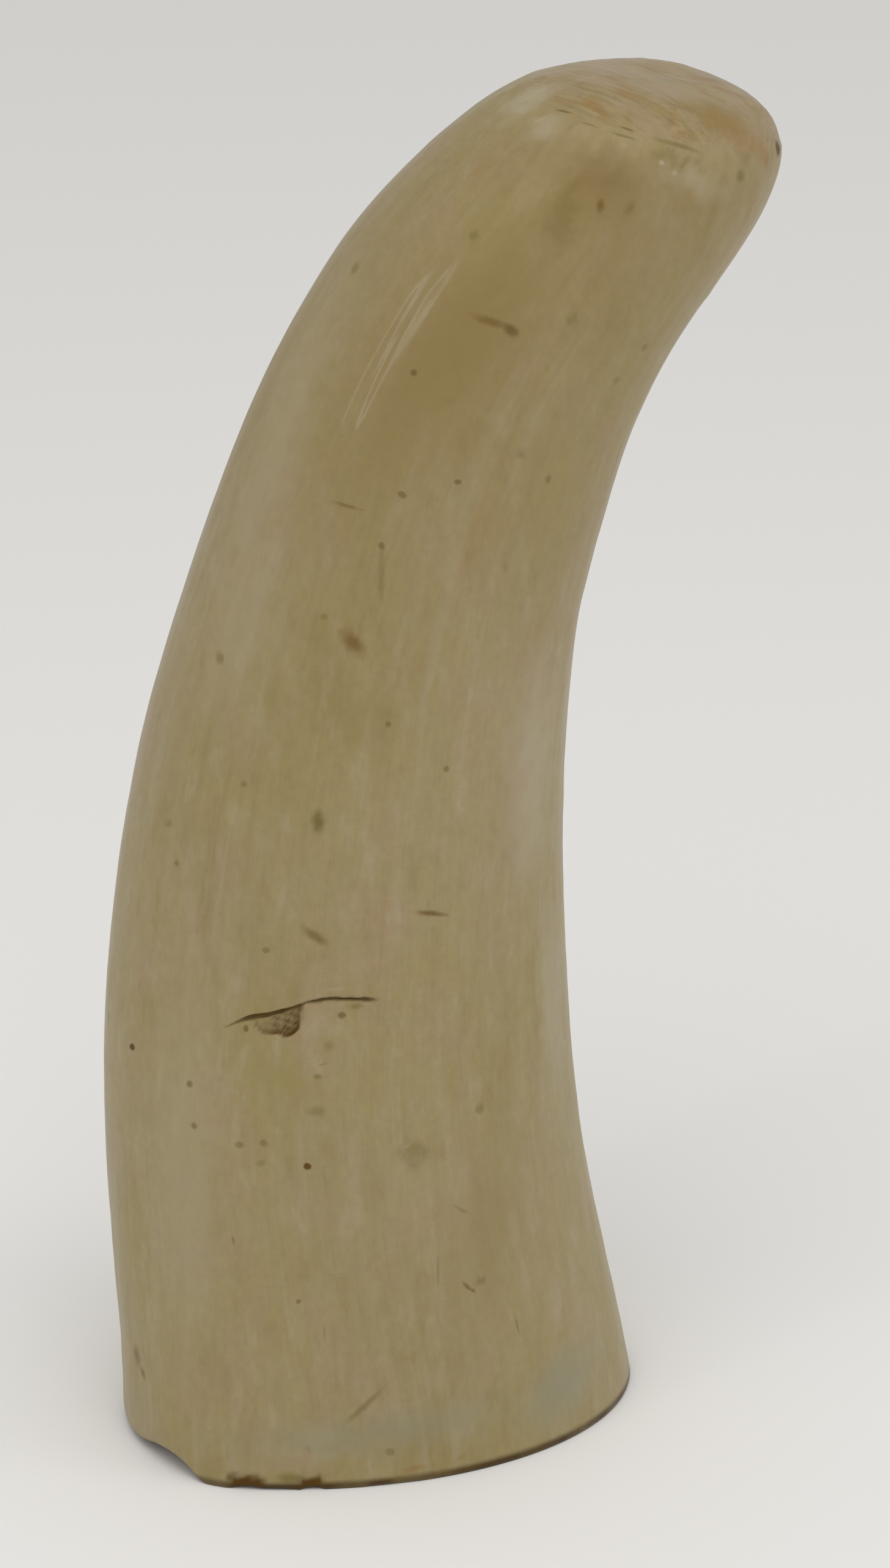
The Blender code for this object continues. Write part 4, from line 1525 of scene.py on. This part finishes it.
class TOOTH_OT_studio(bpy.types.Operator):
    """Set up the pale floor, the soft lights and the camera at the photograph's angle"""

    bl_idname = "tooth.studio"
    bl_label = "Build the Studio"

    def execute(self, context):
        scene, studio = context.scene, context.scene.tooth_studio
        view = View(studio)
        floor = self.floor(scene)
        world = bpy.data.worlds.new("White room")
        world.use_nodes = True
        background = world.node_tree.nodes["Background"]
        background.inputs["Color"].default_value = ROOM_COLOUR
        background.inputs["Strength"].default_value = studio.room
        scene.world = world
        scene.view_settings.view_transform = "Standard"
        for lamp in LAMPS:
            self.light(scene, view, lamp, getattr(studio, lamp.name.lower()))
        camera = bpy.data.objects.new("Camera", bpy.data.cameras.new("Camera"))
        camera.data.lens = studio.lens
        camera.data.sensor_width = SENSOR_MM
        camera.data.clip_start, camera.data.clip_end = VIEW_RANGE_M
        camera.matrix_world = view.matrix()
        scene.collection.objects.link(camera)
        scene.camera = camera
        return {"FINISHED"}

    def floor(self, scene):
        mesh = bpy.data.meshes.new("floor")
        half = FLOOR_HALF_M
        corners = ((-half, -half, 0.0), (half, -half, 0.0), (half, half, 0.0), (-half, half, 0.0))
        mesh.from_pydata(corners, [], [(0, 1, 2, 3)])
        material = bpy.data.materials.new("Pale board")
        material.use_nodes = True
        shader = material.node_tree.nodes["Principled BSDF"]
        shader.inputs["Base Color"].default_value = FLOOR_COLOUR
        shader.inputs["Roughness"].default_value = 0.9
        shader.inputs["Specular IOR Level"].default_value = 0.1
        mesh.materials.append(material)
        made = bpy.data.objects.new("floor", mesh)
        scene.collection.objects.link(made)
        return made

    def light(self, scene, view, lamp, power):
        data = bpy.data.lights.new(lamp.name, "AREA")
        data.shape = "RECTANGLE"
        data.size, data.size_y = lamp.size
        data.energy = power
        level = Vector((-view.ahead.x, -view.ahead.y, 0.0)).normalized()
        turned = Matrix.Rotation(-math.radians(lamp.left), 3, "Z") @ level
        rise = math.radians(lamp.elevation)
        back = turned * math.cos(rise) + Vector((0.0, 0.0, math.sin(rise)))
        made = bpy.data.objects.new(lamp.name, data)
        made.location = Vector((0.0, 0.0, AIM_HEIGHT_MM * MM)) + back * lamp.distance
        made.rotation_mode = "QUATERNION"
        aimed = (-back).to_track_quat("-Z", "Y")
        made.rotation_quaternion = aimed @ Quaternion((0.0, 0.0, 1.0), math.radians(lamp.roll))
        scene.collection.objects.link(made)


class TOOTH_PT_panel(bpy.types.Panel):
    """The tooth's settings and the buttons that build it"""

    bl_idname = "TOOTH_PT_panel"
    bl_label = "Sperm Whale Tooth"
    bl_space_type = "VIEW_3D"
    bl_region_type = "UI"
    bl_category = "Tooth"

    def draw(self, context):
        groups = ("tooth_shape", "tooth_finish", "tooth_studio")
        for group, operator in zip(groups, (None, TOOTH_OT_body, TOOTH_OT_studio)):
            settings = getattr(context.scene, group)
            box = self.layout.box()
            for name in settings.__annotations__:
                box.prop(settings, name)
            if operator:
                self.layout.operator(operator.bl_idname)


CLASSES = (ToothShape, ToothFinish, ToothStudio, TOOTH_OT_body, TOOTH_OT_studio, TOOTH_PT_panel)


def register():
    for one in CLASSES:
        bpy.utils.register_class(one)
    bpy.types.Scene.tooth_shape = bpy.props.PointerProperty(type=ToothShape)
    bpy.types.Scene.tooth_finish = bpy.props.PointerProperty(type=ToothFinish)
    bpy.types.Scene.tooth_studio = bpy.props.PointerProperty(type=ToothStudio)


def unregister():
    del bpy.types.Scene.tooth_studio
    del bpy.types.Scene.tooth_finish
    del bpy.types.Scene.tooth_shape
    for one in reversed(CLASSES):
        bpy.utils.unregister_class(one)


def main():
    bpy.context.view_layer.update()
    register()
    bpy.ops.tooth.body()
    bpy.ops.tooth.studio()
    bpy.context.view_layer.update()


if __name__ == "__main__":
    main()
